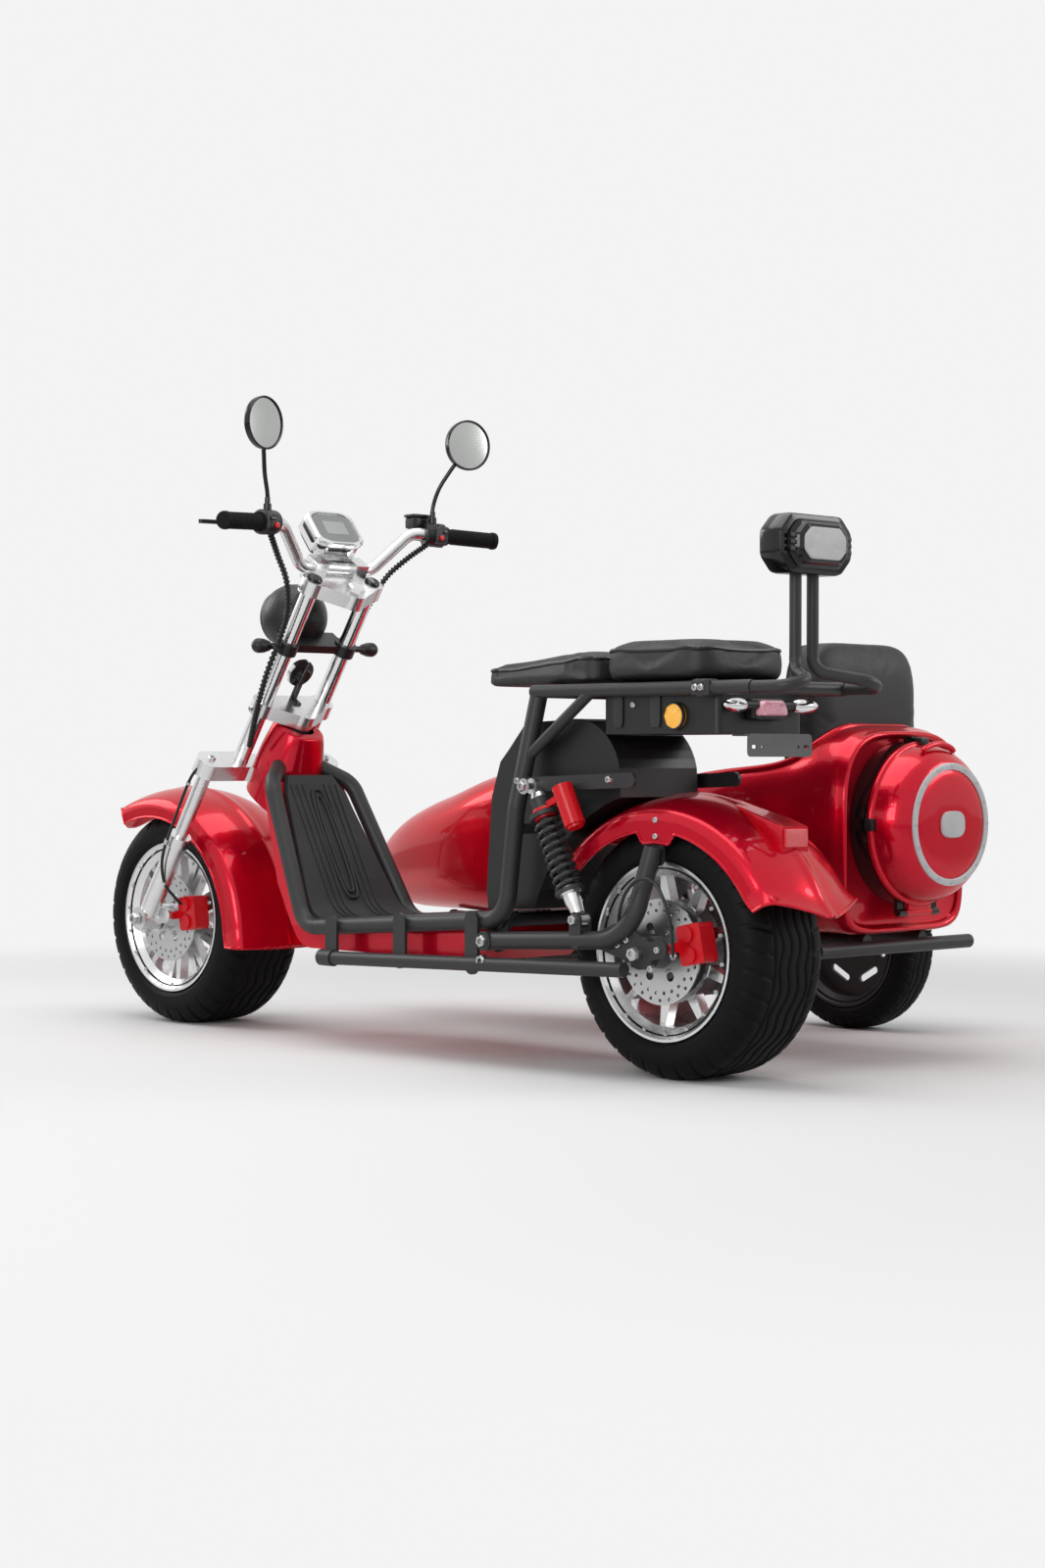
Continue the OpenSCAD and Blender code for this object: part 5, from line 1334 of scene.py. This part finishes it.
@dataclass
class RearTrim:
    """Lamps, reflectors, shock fittings, brake hose, straps and bolts round the rear wheel and seat box."""

    shock_low: tuple[float, float, float] = (0.147, 0.160, 0.294)
    shock_high: tuple[float, float, float] = (0.268, 0.160, 0.542)

    def build(self) -> None:
        """Makes all pieces on the chassis."""
        self.lamps()
        self.fender_lamp()
        self.reflectors()
        self.shocks()
        self.hose()
        self.straps()
        self.bolts()
        self.head_pad()

    def lamps(self) -> None:
        """Tail lamp with a pale pink lens in a black shell, and bright bullets on black stalks."""
        shell = block((-0.178, -0.046, 0.664), (-0.158, 0.046, 0.704), 7.0, 20)
        stalks = [
            tube([(-0.176, side * 0.03, 0.69), (-0.176, side * 0.05, 0.69), (-0.176, side * 0.072, 0.691)], 0.0075, 14)
            for side in (-1, 1)
        ]
        base = piece("tail_shell", [shell, *stalks], Look.PLASTIC_BLACK, "chassis")
        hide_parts("rear_lamps")
        lens = plaque(
            outline([(-0.041, -0.012), (0.041, -0.012), (0.03, 0.017), (-0.03, 0.017)], 0.012),
            [(1, 0), (1, 0.01), (0.94, 0.018), (0.7, 0.022), (0, 0.023)], (-0.172, 0, 0.684), (0, -1, 0), (0, 0, 1)
        )
        # The tail lens shines with a painted glow from its finish's emission
        piece("tail_lens", [lens], Look.LAMP_PINK, "chassis", "lamp_red")
        bullet = lathe(
            [
                (-0.004, 0), (-0.004, 0.009), (0.0, 0.0115), (0.009, 0.0135), (0.022, 0.0138), (0.038, 0.0118),
                (0.05, 0.0078), (0.0575, 0.003), (0.059, 0)
            ],
            (-0.176, 0.072, 0.6905), (-0.12, 1, 0.02), 28,
        )
        piece("rear_signals", both(bullet), Look.CHROME, "chassis")

    def fender_lamp(self) -> None:
        """Wedge on the rear fender, lofted through rectangles that grow to the back, with an upright lens."""
        x = np.array([-0.112, -0.135, -0.17, -0.205, -0.2365, -0.238])
        half = np.array([0.019, 0.025, 0.031, 0.035, 0.037, 0.0365])
        skin = 0.1935 + np.sqrt(0.335**2 - x**2)
        top = np.interp(x, (-0.238, -0.205, -0.112), (0.4735, 0.4855, 0.511))
        flat = outline([(-1, -1), (1, -1), (1, 1), (-1, 1)], 0.22)
        tall, low = (top - skin + 0.007) / 2, (top + skin - 0.007) / 2
        rows = np.stack([
            np.broadcast_to(x[:, None], (6, len(flat))), half[:, None] * flat[:, 0],
            low[:, None] + tall[:, None] * flat[:, 1],
        ], -1)
        ends = np.repeat(rows[[0, -1]].mean(1, keepdims=True), len(flat), 1)
        wedge = grid(np.concatenate([ends[:1], rows, ends[1:]]), False, True)
        made = piece("fender_lamp_shell", [wedge], Look.PAINT_RED, "chassis", "lamp_red", 50.0)
        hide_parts("fender_lamp")
        face = outline([(-0.031, -0.0165), (0.031, -0.0165), (0.031, 0.0165), (-0.031, 0.0165)], 0.003)
        lens = plaque(
            face, [(1, -0.002), (1, 0.003), (0.93, 0.0055), (0, 0.006)], (-0.238, 0, 0.4515), (0, -1, 0), (0, 0, 1)
        )
        # The fender lamp's lens shines with a painted glow from its finish's emission
        piece("fender_lamp_lens", [lens], Look.LAMP_RED, "chassis")

    def reflectors(self) -> None:
        """Round amber reflectors cut in wedges, in black rims; their faces shine with a painted glow."""
        centre = (-0.055, 0.124, 0.672)
        turn = np.linspace(0, 2 * np.pi, 32, endpoint=False)
        reach = np.array([0.0, 0.007, 0.0145, 0.0222])[:, None]
        height = np.array([0.0042, 0.0034, 0.0024, 0.001])[:, None] + 0.0007 * np.cos(8 * turn) * (reach > 0.001)
        points = np.stack([reach * np.cos(turn), height + 0 * turn, reach * np.sin(turn)], -1) + centre
        # The amber faces shine with a painted glow from their finish's emission
        piece("reflector_faces", both(grid(points, False, True)), Look.AMBER, "chassis", sharp=8.0)
        rim = lathe(
            [(-0.004, 0.022), (0.0024, 0.0222), (0.003, 0.0245), (0.001, 0.0258), (-0.004, 0.0255)], centre, (0, 1, 0),
            40, True
        )
        piece("reflector_rims", both(rim), Look.PLASTIC_BLACK, "chassis")

    def shocks(self) -> None:
        """Bright forks and eyes at the shocks' ends, a red collar, and nuts with washers."""
        low, high = np.array(self.shock_low), np.array(self.shock_high)
        way = unit(high - low)
        collar = lathe(
            [(0.208, 0.012), (0.208, 0.0215), (0.213, 0.0222), (0.224, 0.0222), (0.228, 0.0205), (0.228, 0.012)], low,
            way, 36, True
        )
        piece("shock_collars", both(collar), Look.CALIPER_RED, "chassis")
        clevis = lathe(
            [
                (0.012, 0.0), (0.012, 0.0135), (0.026, 0.0145), (0.034, 0.0175), (0.05, 0.018), (0.056, 0.0235),
                (0.064, 0.0235), (0.064, 0.0)
            ],
            low, way, 28
        )
        eye = lathe([(0.232, 0.0), (0.232, 0.0165), (0.25, 0.0165), (0.26, 0.0135), (0.264, 0.0)], low, way, 28)
        rounds = [
            lathe([(-0.0108, 0.0), (-0.0108, 0.0148), (0.0108, 0.0148), (0.0108, 0.0)], end, (0, 1, 0), 28)
            for end in (low, high)
        ]
        piece("shock_ends", both(clevis, eye, *rounds), Look.ALLOY, "chassis")
        nuts = heads([low + (0, 0.0165, 0), high + (0, 0.031, 0)], (0, 1, 0), 0.0105, 0.009, 6)
        washers = lathe([(0, 0), (0, 0.015), (0.002, 0.015), (0.002, 0)], high + (0, 0.029, 0), (0, 1, 0), 24)
        piece("shock_nuts", both(nuts, washers), Look.STEEL, "chassis")

    def hose(self) -> None:
        """Rear brake hose: it leaves the swingarm, arches over the caliper and comes back to it."""
        path = spline([
            (0.05, 0.158, 0.285), (0.036, 0.17, 0.315), (0.008, 0.182, 0.352), (-0.03, 0.188, 0.376),
            (-0.066, 0.186, 0.37),
            (-0.088, 0.18, 0.33), (-0.096, 0.174, 0.285), (-0.092, 0.166, 0.25), (-0.08, 0.152, 0.232),
        ], 110)
        piece("rear_brake_hose", [tube(path, 0.0034, 10, False, (0.2, 0.97, 0.1))], Look.PLASTIC_BLACK, "chassis")
        ends = [tube(path[k:k + 5], 0.0055, 6, False, (0.2, 0.97, 0.1)) for k in (0, 103)]
        piece("hose_unions", ends, Look.STEEL, "chassis")

    def straps(self) -> None:
        """Flat straps down the seat box, and clamps where the rail meets the backrest's tube."""
        bands = [block((x - 0.012, 0.1165, 0.652), (x + 0.012, 0.1205, 0.722), 14.0, 10) for x in (0.09, -0.005)]
        clamp = block((-0.158, 0.113, 0.706), (-0.116, 0.147, 0.738), 12.0, 14)
        piece("seat_straps", both(*bands, clamp), Look.FRAME_BLACK, "chassis")

    def bolts(self) -> None:
        """Bright bolts: fender tabs, seat box, clamps, straps, pivots, axle and plates."""
        small = heads(
            [(-0.008, 0.1205, 0.452), (-0.008, 0.1205, 0.482), (0.052, 0.1168, 0.694)], (0, 1, 0), 0.0058, 0.004, 12
        )
        middle = heads(
            [(-0.13, 0.147, 0.722), (-0.144, 0.147, 0.722), (0.3, 0.173, 0.552), (0.06, 0.173, 0.556)], (0, 1, 0),
            0.007, 0.006, 6
        )
        large = heads(
            [(0.391, 0.1795, 0.243), (0.391, 0.1795, 0.205), (0.0, 0.171, AXLE_HEIGHT)], (0, 1, 0), 0.0125, 0.009, 6
        )
        plate = heads(
            [(-0.046, 0.155, 0.247), (-0.03, 0.155, 0.212), (0.03, 0.155, 0.262), (0.052, 0.155, 0.252)], (0, 1, 0),
            0.0072, 0.006, 6
        )
        piece("chassis_bolts", both(small, middle, large, plate), Look.STEEL, "chassis")

    def head_pad(self) -> None:
        """Stepped back of the small backrest with a bright six-sided plate."""
        shape = outline(
            [
                (-0.086, -0.02), (-0.06, -0.046), (0.06, -0.046), (0.086, -0.02), (0.086, 0.02), (0.06, 0.046),
                (-0.06, 0.046), (-0.086, 0.02)
            ],
            0.008
        )
        centre = (-0.284, 0.0, 0.978)
        body = plaque(
            shape * (1.18, 1.17),
            [
                (0, -0.052), (0.86, -0.052), (0.96, -0.047), (1, -0.038), (1, -0.006), (0.97, 0.002), (0.9, 0.004),
                (0, 0.004)
            ],
            centre, (0, -1, 0), (0, 0, 1)
        )
        step = plaque(
            shape,
            [(0.94, 0.002), (0.94, 0.008), (0.88, 0.011), (0.82, 0.012), (0.78, 0.02), (0.74, 0.022), (0, 0.022)],
            centre, (0, -1, 0), (0, 0, 1)
        )
        made = piece("backrest_shell", [body, step], Look.GLOSS_BLACK, "chassis")
        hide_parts("backrest_pad")
        badge = plaque(
            shape * (0.66, 0.62), [(1, 0.021), (1, 0.0245), (0.95, 0.0265), (0, 0.027)], centre, (0, -1, 0), (0, 0, 1)
        )
        piece("backrest_plate", [badge], Look.TRIM_WHITE, "chassis", "alloy")
        slots = [
            block((-0.2995, side * 0.078 - 0.006, 0.978 + k), (-0.2945, side * 0.078 + 0.006, 0.986 + k), 8.0, 8)
            for side in (-1, 1) for k in (-0.016, -0.004, 0.008)
        ]
        piece("backrest_slots", slots, Look.PLASTIC_BLACK, "chassis")


@dataclass
class WheelTrim:
    """Bolts round a rim and, where there is one, on its brake disc."""

    body: str
    centre: tuple[float, float, float]
    rim: float = 0.1505
    face: float = 0.0975
    bolts: int = 18

    def build(self) -> None:
        """Makes the bolts on both faces of the rim."""
        spots = circle(self.centre, self.rim, self.bolts, 0.1)
        pair = [heads(spots + (0, side * self.face, 0), (0, side, 0), 0.0042, 0.0028, 6) for side in (-1, 1)]
        piece(self.body + "_rim_bolts", pair, Look.STEEL, self.body)
        disc = heads(circle(self.centre, 0.04, 6) + (0, 0.1002, 0), (0, 1, 0), 0.005, 0.004, 8)
        piece(self.body + "_disc_bolts", [disc], Look.STEEL, self.body)


@dataclass
class NeckCover:
    """Smooth painted cover round the steering head."""

    rake: float = RAKE
    rows: Sequence[Sequence[float]] = (
        (0.541, -0.05, 0.03, 0.03), (0.5405, -0.05, 0.047, 0.047), (0.534, -0.051, 0.052, 0.053),
        (0.51, -0.055, 0.058, 0.06),
        (0.47, -0.062, 0.066, 0.067), (0.43, -0.07, 0.073, 0.07), (0.4, -0.076, 0.078, 0.07),
        (0.37, -0.083, 0.079, 0.071),
    )

    def build(self) -> None:
        """Lofts ovals down along the steering axis; each row has a height, a middle and two half sizes."""
        table = np.asarray(self.rows)
        smooth = spline(table, 40)
        ring = oval(1.0, 1.0, 2.6, 48)
        sine, cosine = math.sin(self.rake), math.cos(self.rake)
        ahead = smooth[:, 1:2] + smooth[:, 2:3] * ring[:, 0]
        left = smooth[:, 3:4] * ring[:, 1]
        x = WHEELBASE + ahead * cosine - smooth[:, :1] * sine
        z = AXLE_HEIGHT + ahead * sine + smooth[:, :1] * cosine
        made = piece(
            "neck_shell", [grid(np.stack([x, left, z], -1), False, True)], Look.PAINT_RED, "chassis", sharp=60.0
        )
        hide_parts("neck_cover")


@dataclass
class FloorMat:
    """Long oval bead moulded in the leg shield's mat."""

    rear: tuple[float, float] = (0.392, 0.294)
    floor_turn: float = math.radians(-3.8)
    shield_turn: float = math.radians(61.5)
    bend: float = 0.078
    floor: float = 0.52
    proud: float = 0.003

    def build(self) -> None:
        """Lays two ovals on the mat's curve."""
        turn = np.linspace(0, 2 * np.pi, 120, endpoint=False)
        loops = [(0.735, 0.13, 0.0225), (0.735, 0.115, 0.013)]
        across = np.sign(np.sin(turn)) * np.abs(np.sin(turn)) ** 0.5
        paths = [self.curve(s + long * np.cos(turn), wide * across) for s, long, wide in loops]
        beads = [tube(path, 0.0034, 10, True, (-0.8, 0, 0.6)) for path in paths]
        piece("mat_beads", beads, Look.BOARD_RUBBER, "chassis")

    def curve(self, s: Array, y: Array) -> Array:
        """Points just over the mat, which is a straight floor, an arc and the straight shield.

        Args:
            s: Lengths along the mat from the floor's rear end.
            y: Places across the mat.
        Returns:
            The points, raised square to the mat.
        """
        swing = self.shield_turn - self.floor_turn
        arc_end = self.floor + self.bend * swing
        flat = np.clip(s, 0, self.floor)
        turned = np.clip((s - self.floor) / self.bend, 0, swing)
        rest = np.clip(s - arc_end, 0, None)
        angle = self.floor_turn + turned
        low_x, low_z = math.cos(self.floor_turn), math.sin(self.floor_turn)
        high_x, high_z = math.cos(self.shield_turn), math.sin(self.shield_turn)
        x = self.rear[0] + flat * low_x + self.bend * (np.sin(angle) - low_z) + rest * high_x
        z = self.rear[1] + flat * low_z + self.bend * (low_x - np.cos(angle)) + rest * high_z
        return np.stack([x - self.proud * np.sin(angle), y, z + self.proud * np.cos(angle)], -1)


# Studio


@dataclass
class Studio:
    """Camera, floor, backdrop light and soft lamps."""

    eye: tuple[float, float, float] = (-3.3651, 3.7276, 0.5945)
    gaze: tuple[float, float, float] = (0.7167, -0.6973, -0.0095)
    roll: float = 0.0012
    lens: float = 61.683
    pale: float = 0.9
    fill: float = 0.42
    floor_half: float = 40.0
    floor_grey: float = 0.78
    fade: tuple[float, float] = (1.6, 3.4)

    def build(self) -> None:
        """Makes everything that isn't part of the vehicle."""
        self.camera()
        self.floor()
        self.world()
        self.lamps()
        bpy.context.scene.view_settings.view_transform = "Standard"
        LOG.info("studio ready")

    def camera(self) -> None:
        """Puts the camera where the photograph was taken from."""
        data = bpy.data.cameras.new("camera")
        data.sensor_width = 36.0
        data.lens = self.lens
        piece = bpy.data.objects.new("camera", data)
        bpy.context.collection.objects.link(piece)
        turn = Vector(self.gaze).to_track_quat("-Z", "Y").to_matrix().to_4x4()
        piece.matrix_world = Matrix.Translation(Vector(at(*self.eye))) @ turn @ Matrix.Rotation(self.roll, 4, "Z")
        bpy.context.scene.camera = piece

    def floor(self) -> None:
        """A wide floor that keeps the shadow near the wheels and fades into the backdrop further out."""
        half = self.floor_half
        mesh = bpy.data.meshes.new("floor")
        mesh.from_pydata([(-half, -half, 0), (half, -half, 0), (half, half, 0), (-half, half, 0)], [], [(0, 1, 2, 3)])
        graph = Graph(bpy.data.materials.new("floor_pale"))
        x, y, _ = graph.axes(graph.place())
        far = ((x * x + y * y) ** 0.5).ramp(*self.fade)
        path = graph.node("ShaderNodeLightPath", {}, {}, "Is Camera Ray")
        glow = graph.node("ShaderNodeEmission", {}, {"Color": (self.pale,) * 3, "Strength": 1.0})
        graph.surface_set(Base_Color=(self.floor_grey,) * 3, Roughness=0.9)
        mixed = graph.node(
            "ShaderNodeMixShader", {}, {0: far * path, 1: Link(graph, graph.surface.outputs[0]), 2: glow}
        )
        graph.feed(graph.tree.nodes["Material Output"].inputs["Surface"], mixed)
        mesh.materials.append(graph.owner)
        piece = bpy.data.objects.new("floor", mesh)
        bpy.context.collection.objects.link(piece)

    def world(self) -> None:
        """A pale backdrop for the camera, and a dimmer, even light for the object."""
        graph = Graph(bpy.data.worlds.new("studio"), "Background")
        bpy.context.scene.world = graph.owner
        kinds = ("Is Camera Ray", "Is Glossy Ray", "Is Transmission Ray")
        camera, glossy, through = (graph.node("ShaderNodeLightPath", {}, {}, kind) for kind in kinds)
        seen = camera.math("MAXIMUM", glossy).math("MAXIMUM", through)
        strength = graph.node("ShaderNodeMapRange", {}, {"Value": seen, "To Min": self.fill, "To Max": self.pale})
        graph.surface_set(Color=(1.0, 1.0, 1.0), Strength=strength)

    def lamps(self) -> None:
        """A large soft lamp over the vehicle, one on its left, one behind the sidecar and one ahead."""
        self.lamp("lamp_top", (0.6, 0.2, 3.4), (0.6, -0.2, 0.4), 3.0, 62.0)
        self.lamp("lamp_left", (-1.2, 4.2, 1.9), (0.6, 0.0, 0.5), 2.0, 70.0)
        self.lamp("lamp_rear", (-2.6, -2.9, 2.3), (0.0, -0.3, 0.5), 1.6, 40.0)
        self.lamp("lamp_front", (3.6, 1.0, 2.2), (1.2, 0.0, 0.6), 1.6, 30.0)

    def lamp(self, name: str, place: Sequence[float], aim: Sequence[float], size: float, power: float) -> None:
        """Makes one square lamp.

        Args:
            name: The lamp's name.
            place: Where it stands, from the ground under the rear axle.
            aim: The point that it faces.
            size: Length of a side, in metres.
            power: Power, in watts.
        """
        data = bpy.data.lights.new(name, "AREA")
        data.size = size
        data.energy = power
        piece = bpy.data.objects.new(name, data)
        bpy.context.collection.objects.link(piece)
        eye, target = Vector(at(*place)), Vector(at(*aim))
        turn = (target - eye).to_track_quat("-Z", "Y").to_matrix().to_4x4()
        piece.matrix_world = Matrix.Translation(eye) @ turn


def main() -> None:
    """Builds everything in order."""
    logging.basicConfig(level=logging.INFO, format="%(message)s")
    Studio().build()
    CadFinishes().dress()
    for wheel in ("front", "rear"):
        Tyre(wheel + "_tyre", wheel + "_wheel").build()
    Tyre("sidecar_tyre", "sidecar_wheel", 0.1272, 0.1392, 0.0437, 0.03, 0.003, 40, 480, (0.02,)).build()
    SidecarHull().build()
    Fender("front_fender", "steering", (1.542, 0.1935), (45.0, 182.0), (28.0, 0.0)).build()
    Fender("rear_fender", "chassis", (0.0, 0.1935), (45.0, 160.0), (0.0, 9.0), 91.4).build()
    free = math.nan
    Pad("driver_seat", narrow=0.5, thin=0.02, low=(0.142, free, free), high=(0.516, free, free)).build()
    Pad("pillion_seat", power=6.0, low=(-0.13, free, free), high=(0.138, free, 0.812)).build()
    Pad("sidecar_cushion").build()
    Pad("sidecar_backrest", upright=True, power=6.0, low=(free, -0.668, free), high=(free, -0.322, 0.836)).build()
    TrunkLid().build()
    Cockpit().build()
    RearTrim().build()
    WheelTrim("rear_wheel", (0.0, 0.0, AXLE_HEIGHT)).build()
    WheelTrim("front_wheel", (WHEELBASE, 0.0, AXLE_HEIGHT)).build()
    NeckCover().build()
    FloorMat().build()


if __name__ == "__main__":
    main()
